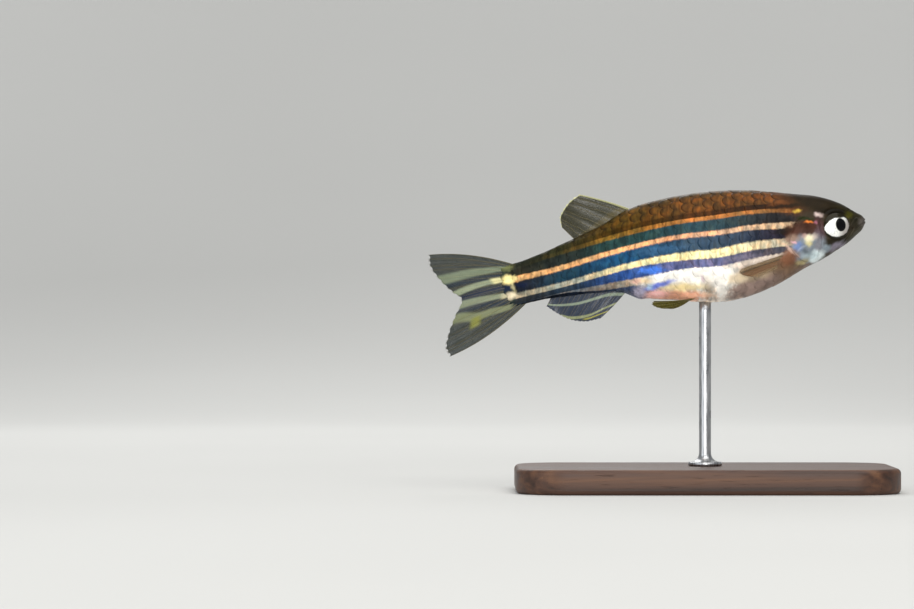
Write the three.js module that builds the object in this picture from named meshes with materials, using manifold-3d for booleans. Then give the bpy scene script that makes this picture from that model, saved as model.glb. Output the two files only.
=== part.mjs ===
// A zebra danio at life size, held in its swimming pose by a plain display stand.
// Millimetres, +Z up, +X towards the snout, +Y towards the fish's left side.
// The origin is the middle of the stand's underside.
//
// The fish is made straight, from sections along its axis, cut into its named parts, and
// each part is then bent along the spine. In the straight fish, x is minus the distance
// behind the snout, y is to the fish's left and z is up from the axis.

import * as THREE from "three";
import { mergeVertices } from "three/addons/utils/BufferGeometryUtils.js";
import Module from "manifold-3d";

const { clamp, degToRad, lerp, smoothstep } = THREE.MathUtils;
const wasm = await Module();
wasm.setup();

// Driving dimensions

const STANDARD_LENGTH = 35.8; // snout to the root of the tail fin
const GAP = 0.3; // clearance between two pieces that touch on the real fish
const HEAD_END = 6.9; // distance behind the snout where the head meets the trunk
const VENT = 24.2; // distance behind the snout where the trunk meets the tail stalk
const STALK_END = STANDARD_LENGTH - 0.1;

// Heading of the axis at each end of the fish, in degrees, and where it turns.
const PITCH = { head: 7.9, tail: 15.2, from: 13, to: 27 };
const YAW = { head: 5, tail: -13, from: 4, to: 40 };

// The point of the axis that stands over the stand, and its height over the floor.
const HELD_AT = 16.1;
const HELD_HEIGHT = 24.8;

// Outline of the body by its landmarks: distance behind the snout, height of the back and
// depth of the belly from the axis, half width, and how square the back and belly are.
const LANDMARKS = [
  // place           s    back  belly  half  back belly
  ["snout tip",  -0.18, 0.60, -0.55, 0.80, 2.1, 2.1],
  ["lips",        0.4,  0.80, -1.00, 1.08, 2.2, 2.1],
  ["chin",        0.8,  1.08, -1.27, 1.26, 2.2, 2.1],
  ["nostril",     1.8,  1.86, -1.94, 1.68, 2.3, 2.1],
  ["eye",         2.9,  2.49, -2.47, 2.02, 2.4, 2.0],
  ["cheek",       4.6,  3.17, -3.27, 2.36, 2.3, 2.0],
  ["nape",        6.5,  3.62, -3.90, 2.60, 2.1, 2.0],
  ["shoulder",    8.5,  4.10, -4.79, 2.80, 2.0, 2.1],
  ["chest",      11.2,  4.66, -5.67, 3.00, 1.9, 2.2],
  ["belly",      14.4,  5.04, -6.12, 3.08, 1.9, 2.3],
  ["mid back",   17.4,  5.15, -5.82, 2.98, 1.9, 2.3],
  ["pelvic",     20.0,  5.12, -5.15, 2.70, 1.9, 2.2],
  ["dorsal root", 22.6, 4.88, -4.48, 2.32, 1.9, 2.0],
  ["vent",       24.1,  4.48, -4.02, 2.06, 1.9, 1.9],
  ["anal root",  25.6,  4.00, -3.05, 1.84, 1.9, 1.8],
  ["rear dorsal", 28.2, 3.52, -2.46, 1.48, 1.9, 1.8],
  ["stalk",      31.2,  3.02, -2.02, 1.16, 1.9, 1.8],
  ["thin stalk", 33.6,  2.70, -1.73, 0.90, 1.9, 1.8],
  ["fin root",   35.8,  2.60, -1.68, 0.52, 2.0, 2.0],
];
const SNOUT_TIP = LANDMARKS[0][1]; // the blunt snout stands a little ahead of the zero
const SNOUT_ROUND = 0.6; // length over which the snout rounds off
const SECTION_SIDES = 30;
const SECTION_RINGS = 44;

const EYE = { behind: 3.05, up: -0.12, radius: 1.38, depth: 0.9, sunk: 0.42, forward: 12, rise: 5 };
const CORNEA = { radius: 0.75, rise: 0.1 };
const NOSTRIL = { behind: 1.25, angle: 55, radius: 0.36 };
const MOUTH = { tip: [SNOUT_TIP, 0.0], corner: [1.35, -0.85], throat: [3.6, -2.95], lip: 0.36 };
const GILL_COVER = {
  raised: 0.14,
  inside: 0.55,
  outline: [
    [5.3, 0.75],
    [6.45, 1.0],
    [7.45, 0.15],
    [8.1, -1.25],
    [7.55, -2.5],
    [6.45, -3.3],
    [5.55, -3.05],
    [5.1, -1.6],
  ],
};

// Feelers: where each is rooted on the skin as [behind, up], then the points it leads to
// from there as [behind, out, up], and their thickness at the root and the tip.
const FEELERS = {
  rostral: { root: [0.75, 0.35], lead: [[0.2, 0.3, 0.0], [0.6, 0.6, -0.25], [0.95, 0.7, -0.7]] },
  maxillary: { root: [1.15, -0.45], lead: [[0.35, 0.4, -0.4], [1.2, 0.7, -1.35], [2.2, 0.65, -2.05]] },
};
const FEELER_ROOT = 0.5;
const FEELER_TIP = 0.22;
const FEELER_SUNK = 0.35;

// Fins: thickness of the membrane at the root and at the margin, and the height of a ray
// over it on each face.
const MEMBRANE = { root: 0.54, margin: 0.3 };
const RAY = { rise: 0.11, halfWidth: 0.3 };
const FIN_SUNK = 0.7; // how far a fin's root starts inside the body before it is cut clear

const STAND = { length: 38, width: 22, height: 2.5, corner: 5, edge: 0.5 };
const ROD = { radius: 0.6, foot: 1.7, footHeight: 0.8, sides: 14 };

// The spine

const SPINE_STEP = 0.1;
const SPINE_END = 48;

function heading(behind) {
  const turn = smoothstep(behind, PITCH.from, PITCH.to);
  const pitch = degToRad(lerp(PITCH.head, PITCH.tail, turn));
  const swing = smoothstep(behind, YAW.from, YAW.to);
  const yaw = degToRad(lerp(YAW.head, YAW.tail, swing));
  return { pitch, yaw };
}

function forwardAt(behind) {
  const { pitch, yaw } = heading(behind);
  const flat = Math.cos(pitch);
  return new THREE.Vector3(flat * Math.cos(yaw), flat * Math.sin(yaw), Math.sin(pitch));
}

// Points of the axis from the snout to past the tail fin, moved so that the held point
// stands over the origin.
const spine = [new THREE.Vector3()];
for (let behind = SPINE_STEP; behind <= SPINE_END; behind += SPINE_STEP) {
  const ahead = forwardAt(behind - SPINE_STEP / 2).multiplyScalar(-SPINE_STEP);
  spine.push(spine.at(-1).clone().add(ahead));
}
const held = spine[Math.round(HELD_AT / SPINE_STEP)].clone();
const shift = new THREE.Vector3(0, 0, HELD_HEIGHT).sub(held);
spine.forEach((point) => point.add(shift));

function axisPoint(behind) {
  const along = clamp(behind, 0, SPINE_END - SPINE_STEP) / SPINE_STEP;
  const first = Math.floor(along);
  const point = spine[first].clone().lerp(spine[first + 1], along - first);
  const ahead = Math.min(behind, 0); // ahead of the snout the axis runs on straight
  return point.addScaledVector(forwardAt(0), -ahead);
}

function bendPoint(point) {
  const behind = -point.x;
  const { pitch, yaw } = heading(behind);
  const left = new THREE.Vector3(-Math.sin(yaw), Math.cos(yaw), 0);
  const up = new THREE.Vector3(-Math.sin(pitch) * Math.cos(yaw), -Math.sin(pitch) * Math.sin(yaw),
    Math.cos(pitch));
  return axisPoint(behind).addScaledVector(left, point.y).addScaledVector(up, point.z);
}

function bend(geometry) {
  const position = geometry.getAttribute("position");
  const point = new THREE.Vector3();
  for (let i = 0; i < position.count; i++) {
    point.fromBufferAttribute(position, i);
    const bent = bendPoint(point);
    position.setXYZ(i, bent.x, bent.y, bent.z);
  }
  return geometry;
}

// Closed surfaces and solids

function toSolid(geometry) {
  const bare = geometry.clone();
  for (const name of ["normal", "uv"]) bare.deleteAttribute(name);
  const closed = outward(mergeVertices(bare, 1e-4));
  return new wasm.Manifold(new wasm.Mesh({
    numProp: 3,
    vertProperties: new Float32Array(closed.attributes.position.array),
    triVerts: new Uint32Array(closed.index.array),
  }));
}

// The same closed surface with its faces turned out.
function outward(geometry) {
  const position = geometry.getAttribute("position");
  const index = geometry.getIndex();
  const [a, b, c] = [0, 1, 2].map(() => new THREE.Vector3());
  let volume = 0;
  for (let i = 0; i < index.count; i += 3) {
    a.fromBufferAttribute(position, index.getX(i));
    b.fromBufferAttribute(position, index.getX(i + 1));
    c.fromBufferAttribute(position, index.getX(i + 2));
    volume += a.dot(b.cross(c));
  }
  if (volume < 0) geometry.setIndex(Array.from(index.array).reverse());
  return geometry;
}

function toGeometry(solid) {
  const mesh = solid.getMesh();
  const geometry = new THREE.BufferGeometry();
  geometry.setAttribute("position", new THREE.BufferAttribute(mesh.vertProperties, 3));
  geometry.setIndex(new THREE.BufferAttribute(mesh.triVerts, 1));
  return geometry;
}

// Keeps only the largest closed piece, dropping scraps that a cut leaves.
function largest(solid) {
  const pieces = solid.decompose();
  return pieces.reduce((best, piece) => (piece.volume() > best.volume() ? piece : best));
}

function fromTriangles(points, triangles) {
  const geometry = new THREE.BufferGeometry().setFromPoints(points);
  geometry.setIndex(triangles);
  return geometry;
}

// A closed loft through rings of points. A ring of one point is a tip, and a full ring at
// an end is closed by a fan round its middle.
function loft(rings) {
  const points = rings.flat();
  const triangles = [];
  const starts = rings.map((_, i) => rings.slice(0, i).reduce((sum, ring) => sum + ring.length, 0));
  const close = (ring, start, flip) => {
    const middle = ring.reduce((sum, p) => sum.add(p), new THREE.Vector3()).divideScalar(ring.length);
    points.push(middle);
    ring.forEach((_, i) => {
      const pair = [start + i, start + ((i + 1) % ring.length)];
      triangles.push(points.length - 1, ...(flip ? pair.reverse() : pair));
    });
  };
  for (let k = 0; k + 1 < rings.length; k++) {
    const [near, far] = [rings[k], rings[k + 1]];
    const sides = Math.max(near.length, far.length);
    for (let i = 0; i < sides; i++) {
      const next = (i + 1) % sides;
      const at = (ring, start, j) => start + (ring.length === 1 ? 0 : j);
      const [a, b] = [at(near, starts[k], i), at(near, starts[k], next)];
      const [c, d] = [at(far, starts[k + 1], i), at(far, starts[k + 1], next)];
      if (near.length > 1) triangles.push(a, b, c);
      if (far.length > 1) triangles.push(b, d, c);
    }
  }
  if (rings[0].length > 1) close(rings[0], starts[0], true);
  if (rings.at(-1).length > 1) close(rings.at(-1), starts.at(-1), false);
  return fromTriangles(points, triangles);
}

// The body

const sizesAlong = new THREE.CubicInterpolant(
  LANDMARKS.map((row) => row[1]),
  LANDMARKS.flatMap((row) => row.slice(2)),
  LANDMARKS[0].length - 2,
);

function sizesAt(behind) {
  const along = clamp(behind, SNOUT_TIP, STANDARD_LENGTH);
  const [back, belly, half, backShape, bellyShape] = sizesAlong.evaluate(along);
  const ahead = 1 - Math.min((along - SNOUT_TIP) / SNOUT_ROUND, 1);
  const rounding = Math.sqrt(Math.max(1 - ahead * ahead, 0));
  return { back: back * rounding, belly: belly * rounding, half: half * rounding, backShape, bellyShape };
}

// A point of the skin at an angle round the section: 0 is the left side and 90 the back.
function skinPoint(behind, angle, grow = 0) {
  const size = sizesAt(behind);
  const [across, up] = [Math.cos(angle), Math.sin(angle)];
  const shape = up >= 0 ? size.backShape : size.bellyShape;
  const tall = up >= 0 ? size.back + grow : -size.belly + grow;
  const y = (size.half + grow) * Math.sign(across) * Math.abs(across) ** (2 / shape);
  const z = tall * Math.sign(up) * Math.abs(up) ** (2 / shape);
  return new THREE.Vector3(-behind, y, z);
}

// Half width of the body at a height over the axis.
function sideAt(behind, up) {
  const size = sizesAt(behind);
  const tall = up >= 0 ? size.back : -size.belly;
  const shape = up >= 0 ? size.backShape : size.bellyShape;
  return size.half * Math.max(1 - Math.abs(up / tall) ** shape, 0) ** (1 / shape);
}

// The whole straight body, grown or shrunk all over by a set amount.
function bodySolid(grow = 0) {
  const rings = [[new THREE.Vector3(grow - SNOUT_TIP, 0, 0)]];
  const crowding = 1.5; // sections stand closer together towards the snout
  for (let i = 1; i <= SECTION_RINGS; i++) {
    const behind = lerp(SNOUT_TIP, STALK_END, (i / SECTION_RINGS) ** crowding);
    const stretched = behind + grow * (2 * (i / SECTION_RINGS) - 1);
    const ring = [];
    for (let k = 0; k < SECTION_SIDES; k++) {
      const angle = (2 * Math.PI * (k + 0.5)) / SECTION_SIDES;
      ring.push(skinPoint(behind, angle, grow).setX(-stretched));
    }
    rings.push(ring);
  }
  return toSolid(loft(rings));
}

// A block across the whole fish between two distances behind the snout.
function slab(from, to) {
  const size = 40;
  const box = new THREE.BoxGeometry(to - from, size, size);
  return toSolid(box.translate(-(from + to) / 2, 0, 0));
}

// A prism through the side view: an outline of [behind, up], reaching from one distance
// out from the middle plane to another.
function sidePrism(outline, from, to, smoothSteps = 0) {
  let points = outline.map(([behind, up]) => new THREE.Vector2(-behind, up));
  if (smoothSteps) {
    const curve = new THREE.CatmullRomCurve3(points.map((p) => new THREE.Vector3(p.x, p.y, 0)), true);
    points = curve.getPoints(smoothSteps).slice(0, -1).map((p) => new THREE.Vector2(p.x, p.y));
  }
  const prism = new THREE.ExtrudeGeometry(new THREE.Shape(points), {
    depth: to - from,
    bevelEnabled: false,
  });
  // Extruded along +Z of the drawing plane; turned so that the drawing's up is the fish's up.
  return toSolid(prism.rotateX(Math.PI / 2).translate(0, to, 0));
}

function grownOutline(outline, grow) {
  const middle = outline.reduce((sum, p) => [sum[0] + p[0] / outline.length, sum[1] + p[1] / outline.length],
    [0, 0]);
  return outline.map(([behind, up]) => {
    const away = Math.hypot(behind - middle[0], up - middle[1]);
    const scale = (away + grow) / away;
    return [middle[0] + (behind - middle[0]) * scale, middle[1] + (up - middle[1]) * scale];
  });
}

// Head pieces

// An eye as a lens of revolution with a raised cornea, and the same shape grown for its socket.
function eyeSolid(side, grow = 0) {
  const profile = [];
  const steps = 10;
  for (let i = 0; i <= steps; i++) {
    const angle = (Math.PI * i) / steps;
    const across = (EYE.radius + grow) * Math.sin(angle);
    const cornea = i <= steps / 2 && grow === 0 ? smoothstep(CORNEA.radius - across, 0, 0.25) : 0;
    profile.push(new THREE.Vector2(across, (EYE.depth + grow) * Math.cos(angle) + CORNEA.rise * cornea));
  }
  profile[0].x = profile[steps].x = 0;
  const ball = new THREE.LatheGeometry(profile.reverse(), 18);
  if (side < 0) ball.rotateX(Math.PI);
  // Turned about the axis across the fish so that the pupil looks a little forward and up.
  ball.rotateZ(-side * degToRad(EYE.forward));
  ball.rotateX(side * degToRad(EYE.rise));
  const out = sideAt(EYE.behind, EYE.up) - EYE.sunk;
  return toSolid(ball.translate(-EYE.behind, side * out, EYE.up));
}

// A round bar along a curve, thinning towards its point.
function taperedBar(curve, rootRadius, tipRadius, sides = 6, steps = 8) {
  const frames = curve.computeFrenetFrames(steps);
  const rings = [];
  for (let i = 0; i <= steps; i++) {
    const along = i / steps;
    const centre = curve.getPointAt(along);
    const radius = lerp(rootRadius, tipRadius, along ** 2);
    rings.push(Array.from({ length: sides }, (_, k) => {
      const angle = (2 * Math.PI * k) / sides;
      return centre.clone()
        .addScaledVector(frames.normals[i], radius * Math.cos(angle))
        .addScaledVector(frames.binormals[i], radius * Math.sin(angle));
    }));
  }
  rings.push([curve.getPointAt(1).addScaledVector(frames.tangents[steps], tipRadius)]);
  return loft(rings);
}

// One bar of lip round the line of the mouth, which the mouth's cut parts in two.
function lipSolid() {
  const steps = 12;
  const points = [];
  for (let i = -steps; i <= steps; i++) {
    const along = Math.abs(i / steps) ** 1.6;
    const behind = lerp(MOUTH.tip[0] + 0.26, MOUTH.corner[0] + 0.15, along);
    const up = lerp(MOUTH.tip[1], MOUTH.corner[1], along);
    const out = Math.max(sideAt(behind, up) - 0.12, 0) * Math.sign(i);
    points.push(new THREE.Vector3(-behind, out, up));
  }
  const curve = new THREE.CatmullRomCurve3(points);
  const ring = new THREE.Shape().absarc(0, 0, MOUTH.lip, 0, 2 * Math.PI);
  return toSolid(new THREE.ExtrudeGeometry(ring, { steps: 18, extrudePath: curve, curveSegments: 9 }));
}

function feelerSolid({ root, lead }, side) {
  const [behind, up] = root;
  const out = sideAt(behind, up);
  const from = (back, away, rise) => new THREE.Vector3(-behind - back, side * (out + away), up + rise);
  const points = lead.map(([back, away, rise]) => from(back, away, rise));
  const curve = new THREE.CatmullRomCurve3([from(0, -FEELER_SUNK, 0), ...points]);
  return toSolid(taperedBar(curve, FEELER_ROOT / 2, FEELER_TIP / 2));
}

function gillCoverPair(whole) {
  const shell = bodySolid(GILL_COVER.raised).subtract(bodySolid(-GILL_COVER.inside));
  const recess = whole.add(shell).subtract(bodySolid(-GILL_COVER.inside - GAP));
  const reach = 6;
  const sides = [[1, 0.3, reach], [-1, -reach, -0.3]];
  return sides.map(([side, from, to]) => {
    const plate = sidePrism(GILL_COVER.outline, from, to, 28);
    const wider = sidePrism(grownOutline(GILL_COVER.outline, GAP), from, to, 28);
    return { side, cover: largest(shell.intersect(plate)), recess: recess.intersect(wider) };
  });
}

function jawRegion(clearance) {
  const [tip, corner, throat] = [MOUTH.tip, MOUTH.corner, MOUTH.throat];
  const slope = (corner[1] - tip[1]) / (corner[0] - tip[0]);
  const reach = 3;
  const outline = [
    [tip[0] - reach, tip[1] - reach * slope - clearance],
    [corner[0] - clearance * 0.8, corner[1] - clearance],
    [throat[0] - clearance, throat[1]],
    [throat[0] - clearance + 0.6, throat[1] - 1.2],
    [throat[0] - 1.5, throat[1] - reach],
    [tip[0] - reach, throat[1] - reach],
  ];
  return sidePrism(outline, -6, 6);
}

// Fins

// Columns across a fin: each ray is a ridge of three columns, on a flat membrane.
function finColumns(rays) {
  const columns = [];
  for (let ray = 0; ray < rays; ray++) {
    const at = ray / (rays - 1);
    const half = RAY.halfWidth / (rays - 1);
    if (ray > 0) columns.push({ at: at - half, rise: 0 });
    columns.push({ at, rise: RAY.rise });
    if (ray < rays - 1) columns.push({ at: at + half, rise: 0 });
  }
  return columns;
}

// A fin as a closed sheet of rays running from a root curve to a margin curve. Each ray
// bows by a vector given for its place across the fin.
function finSolid({ root, margin, bow, rays, rows }) {
  const columns = finColumns(rays);
  const middle = columns.map(({ at }) => {
    const [start, end] = [root.getPoint(at), margin.getPoint(at)];
    const pull = start.clone().lerp(end, 0.5).add(bow(at));
    const curve = new THREE.QuadraticBezierCurve3(start, pull, end);
    return Array.from({ length: rows + 1 }, (_, row) => curve.getPoint(row / rows));
  });
  const faces = [1, -1].map((face) => middle.map((line, column) => line.map((point, row) => {
    const before = middle[Math.max(column - 1, 0)];
    const after = middle[Math.min(column + 1, columns.length - 1)];
    const across = after[row].clone().sub(before[row]);
    const along = line[Math.min(row + 1, rows)].clone().sub(line[Math.max(row - 1, 0)]);
    const normal = across.cross(along).normalize();
    const share = row / rows;
    const rise = columns[column].rise * (1 - 0.6 * share);
    const thick = lerp(MEMBRANE.root, MEMBRANE.margin, share ** 3) / 2 + rise;
    return point.clone().addScaledVector(normal, face * thick);
  })));
  return toSolid(closedSheet(faces[0], faces[1]));
}

// A closed sheet between two grids of points alike in size, split into triangles alike.
function closedSheet(top, bottom) {
  const [columns, rows] = [top.length, top[0].length];
  const points = [...top.flat(), ...bottom.flat()];
  const below = columns * rows;
  const at = (column, row) => column * rows + row;
  const triangles = [];
  for (let column = 0; column + 1 < columns; column++) {
    for (let row = 0; row + 1 < rows; row++) {
      const [a, b] = [at(column, row), at(column + 1, row)];
      const [c, d] = [at(column + 1, row + 1), at(column, row + 1)];
      triangles.push(a, b, c, a, c, d);
      triangles.push(below + a, below + c, below + b, below + a, below + d, below + c);
    }
  }
  const rim = [];
  for (let column = 0; column < columns - 1; column++) rim.push(at(column, 0));
  for (let row = 0; row < rows - 1; row++) rim.push(at(columns - 1, row));
  for (let column = columns - 1; column > 0; column--) rim.push(at(column, rows - 1));
  for (let row = rows - 1; row > 0; row--) rim.push(at(0, row));
  rim.forEach((a, i) => {
    const b = rim[(i + 1) % rim.length];
    triangles.push(a, below + a, below + b, a, below + b, b);
  });
  return fromTriangles(points, triangles);
}

// A curve in the middle plane through points given as [behind, up].
function midCurve(points) {
  return new THREE.CatmullRomCurve3(points.map(([behind, up]) => new THREE.Vector3(-behind, 0, up)));
}

// A fin's root line along the back or the belly, sunk into the body.
function ridgeLine(from, to, edge) {
  const steps = 6;
  const points = Array.from({ length: steps + 1 }, (_, i) => {
    const behind = lerp(from, to, i / steps);
    const up = edge === "back" ? sizesAt(behind).back - FIN_SUNK : sizesAt(behind).belly + FIN_SUNK;
    return [behind, up];
  });
  return midCurve(points);
}

function dorsalFin() {
  return finSolid({
    root: ridgeLine(22.0, 28.3, "back"),
    margin: midCurve([[27.0, 7.48], [28.05, 7.1], [28.9, 6.5], [29.5, 5.8], [29.6, 4.85]]),
    bow: (at) => new THREE.Vector3(0, 0, lerp(0.32, 0, at)),
    rays: 9,
    rows: 6,
  });
}

function analFin() {
  return finSolid({
    root: ridgeLine(24.75, 32.0, "belly"),
    margin: midCurve([[28.2, -5.05], [29.7, -4.95], [31.1, -4.4], [32.2, -3.5], [33.1, -2.45]]),
    bow: (at) => new THREE.Vector3(0, 0, lerp(-0.2, 0, at)),
    rays: 13,
    rows: 6,
  });
}

const FORK = 0.45; // height over the axis of the line between the tail fin's lobes

function tailLobe(upper) {
  const rootInside = STALK_END - 0.5;
  const root = upper
    ? midCurve([[rootInside - 0.3, 2.25], [rootInside, FORK + GAP / 2]])
    : midCurve([[rootInside - 0.3, -1.5], [rootInside, FORK - GAP / 2]]);
  const margin = upper
    ? midCurve([[43.4, 5.7], [43.55, 4.5], [42.95, 2.9], [42.1, 1.5], [41.5, FORK + GAP / 2]])
    : midCurve([[44.0, -4.7], [44.25, -3.7], [43.55, -2.3], [42.5, -0.9], [41.55, FORK - GAP / 2]]);
  const outwardBow = upper ? 1.0 : -1.0;
  return finSolid({
    root,
    margin,
    bow: (at) => new THREE.Vector3(0, 0, outwardBow * (1 - at) ** 2),
    rays: 9,
    rows: 7,
  });
}

function pectoralFin(side) {
  const onSkin = (behind, up, out) => new THREE.Vector3(-behind, side * (sideAt(behind, up) + out), up);
  return finSolid({
    root: new THREE.CatmullRomCurve3([
      onSkin(8.15, -2.2, -0.6),
      onSkin(8.35, -2.7, -0.6),
      onSkin(8.55, -3.2, -0.6),
    ]),
    margin: new THREE.CatmullRomCurve3([
      onSkin(13.3, -3.05, 2.3),
      onSkin(13.5, -3.4, 1.7),
      onSkin(12.9, -3.8, 1.25),
      onSkin(11.6, -4.15, 0.95),
    ]),
    bow: (at) => new THREE.Vector3(0, side * lerp(0.7, 0.25, at), 0.1),
    rays: 10,
    rows: 6,
  });
}

function pelvicFin(side) {
  const under = (behind, out, drop) => new THREE.Vector3(-behind, side * out, sizesAt(behind).belly + drop);
  return finSolid({
    root: new THREE.CatmullRomCurve3([
      under(17.9, 1.5, 1.35),
      under(18.2, 1.1, 1.0),
      under(18.5, 0.75, 0.9),
    ]),
    margin: new THREE.CatmullRomCurve3([
      under(22.4, 2.05, -0.2),
      under(22.6, 1.8, -0.6),
      under(21.9, 1.4, -0.9),
      under(20.6, 1.0, -0.9),
    ]),
    bow: (at) => new THREE.Vector3(0, side * lerp(0.25, 0, at), -0.3),
    rays: 7,
    rows: 5,
  });
}

// The stand

function standBase() {
  const [x, y, r] = [STAND.length / 2 - STAND.edge, STAND.width / 2 - STAND.edge, STAND.corner - STAND.edge];
  const plan = new THREE.Shape();
  plan.absarc(x - r, y - r, r, 0, Math.PI / 2);
  plan.absarc(-x + r, y - r, r, Math.PI / 2, Math.PI);
  plan.absarc(-x + r, -y + r, r, Math.PI, 1.5 * Math.PI);
  plan.absarc(x - r, -y + r, r, 1.5 * Math.PI, 2 * Math.PI);
  const plate = new THREE.ExtrudeGeometry(plan, {
    depth: STAND.height - 2 * STAND.edge,
    bevelSize: STAND.edge,
    bevelThickness: STAND.edge,
    bevelSegments: 1,
    curveSegments: 5,
  });
  return toSolid(plate.translate(0, 0, STAND.edge));
}

// The rod with its foot, turned as one piece, and cut to fit under the belly.
function standRod(bentBody) {
  const foot = STAND.height + GAP;
  const profile = [
    [0, foot],
    [ROD.foot, foot],
    [ROD.foot, foot + ROD.footHeight * 0.5],
    [ROD.foot - 0.4, foot + ROD.footHeight],
    [ROD.radius, foot + ROD.footHeight * 1.4],
    [ROD.radius, HELD_HEIGHT],
    [0, HELD_HEIGHT],
  ].map(([radius, z]) => new THREE.Vector2(radius, z));
  // The lathe turns about its own Y, which is stood up here as Z.
  const rod = new THREE.LatheGeometry(profile, ROD.sides).rotateX(Math.PI / 2);
  return largest(toSolid(rod).subtract(bentBody));
}

// The materials, one for each finish

function finish(color, roughness, metalness) {
  return new THREE.MeshStandardMaterial({ color, roughness, metalness });
}

const FINISHES = {
  head: finish("#8d7f6c", 0.4, 0.3),
  gill: finish("#b9c4cc", 0.3, 0.6),
  flank: finish("#4c6f92", 0.35, 0.45),
  eye: finish("#e9ebe6", 0.1, 0.2),
  clearFin: finish("#8a8558", 0.4, 0),
  stripedFin: finish("#6d8f8d", 0.4, 0.1),
  wood: finish("#4a3325", 0.55, 0),
  steel: finish("#a9abad", 0.3, 0.9),
};

// The model

const model = new THREE.Group();

function addPiece(name, geometry, material) {
  const mesh = new THREE.Mesh(geometry, material);
  mesh.name = name;
  model.add(mesh);
}

const addBent = (name, solid, material) => addPiece(name, bend(toGeometry(solid)), material);

const whole = bodySolid();
const clearance = bodySolid(GAP);
const covers = gillCoverPair(whole);
const eyes = [1, -1].map((side) => ({ side, ball: eyeSolid(side), socket: eyeSolid(side, GAP) }));

// The head and the jaw, with sockets, recesses, nostrils and the cut of the mouth.
let headPart = whole.add(lipSolid()).intersect(slab(-5, HEAD_END - GAP / 2));
for (const { socket } of eyes) headPart = headPart.subtract(socket);
for (const { recess } of covers) headPart = headPart.subtract(recess);
for (const side of [1, -1]) {
  const angle = side > 0 ? degToRad(NOSTRIL.angle) : Math.PI - degToRad(NOSTRIL.angle);
  const at = skinPoint(NOSTRIL.behind, angle);
  const pit = new THREE.SphereGeometry(NOSTRIL.radius, 8, 6).translate(at.x, at.y, at.z);
  headPart = headPart.subtract(toSolid(pit));
}
const jaw = largest(headPart.intersect(jawRegion(GAP / 2)));
let skull = largest(headPart.subtract(jawRegion(-GAP / 2)));
for (const side of [1, -1]) {
  for (const feeler of Object.values(FEELERS)) skull = skull.add(feelerSolid(feeler, side));
}

// The trunk and the tail stalk.
let trunk = whole.intersect(slab(HEAD_END + GAP / 2, VENT - GAP / 2));
for (const { recess } of covers) trunk = trunk.subtract(recess);
const stalk = whole.intersect(slab(VENT + GAP / 2, STANDARD_LENGTH + 5));

addBent("head", largest(skull), FINISHES.head);
addBent("lower_jaw", jaw, FINISHES.head);
for (const { side, cover } of covers) {
  addBent(side > 0 ? "gill_cover_left" : "gill_cover_right", cover, FINISHES.gill);
}
for (const { side, ball } of eyes) addBent(side > 0 ? "eye_left" : "eye_right", ball, FINISHES.eye);
addBent("trunk", largest(trunk), FINISHES.flank);
addBent("tail_stalk", largest(stalk), FINISHES.flank);

const clear = (fin) => largest(fin.subtract(clearance));
addBent("dorsal_fin", clear(dorsalFin()), FINISHES.clearFin);
addBent("anal_fin", clear(analFin()), FINISHES.stripedFin);
addBent("tail_fin_upper_lobe", clear(tailLobe(true)), FINISHES.stripedFin);
addBent("tail_fin_lower_lobe", clear(tailLobe(false)), FINISHES.stripedFin);
for (const [side, hand] of [[1, "left"], [-1, "right"]]) {
  addBent(`pectoral_fin_${hand}`, clear(pectoralFin(side)), FINISHES.clearFin);
  addBent(`pelvic_fin_${hand}`, clear(pelvicFin(side)), FINISHES.clearFin);
}

addPiece("stand_base", toGeometry(standBase()), FINISHES.wood);
addPiece("stand_rod", toGeometry(standRod(toSolid(bend(toGeometry(clearance))))), FINISHES.steel);

export default model;
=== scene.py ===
# %% [markdown]
# # A zebra danio on its stand
# This lesson dresses the plain solids of a small fish, 36 mm from snout to tail root. The solids say
# where everything is, and Blender makes the skin, the scales, the eyes and the clear fins. Everything
# is worked out in millimetres on a straight fish, then bent along its spine, and stored in metres.
# A place on the straight fish is given by its distance behind the snout and its height over the axis.

# %% Load the frame
import math

import bpy
import numpy as np
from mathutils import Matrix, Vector


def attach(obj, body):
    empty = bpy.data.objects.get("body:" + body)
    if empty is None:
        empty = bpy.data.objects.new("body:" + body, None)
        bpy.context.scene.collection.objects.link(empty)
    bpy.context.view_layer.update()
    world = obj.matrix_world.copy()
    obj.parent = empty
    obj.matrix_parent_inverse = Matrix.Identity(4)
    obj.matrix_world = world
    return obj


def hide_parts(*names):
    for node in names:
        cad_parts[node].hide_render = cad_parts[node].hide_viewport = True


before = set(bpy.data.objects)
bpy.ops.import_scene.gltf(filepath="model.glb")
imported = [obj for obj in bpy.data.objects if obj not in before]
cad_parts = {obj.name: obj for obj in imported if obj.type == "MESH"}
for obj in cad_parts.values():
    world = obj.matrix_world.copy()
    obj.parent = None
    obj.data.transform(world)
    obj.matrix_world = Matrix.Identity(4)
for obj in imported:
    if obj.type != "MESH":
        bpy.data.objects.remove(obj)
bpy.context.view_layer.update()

MM = 0.001
HANDS = ((1, "left"), (-1, "right"))  # y points to the fish's left
print("nodes in the frame:", len(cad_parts))

# %% [markdown]
# ## The straight fish
# A fish's body is a tube whose back, belly and sides change along its length. A few landmarks hold
# those sizes, and a smooth curve runs through them, so one table gives the whole outline. The sections
# are superellipses: a power of 2 is a plain ellipse, and a higher one is squarer.

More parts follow.
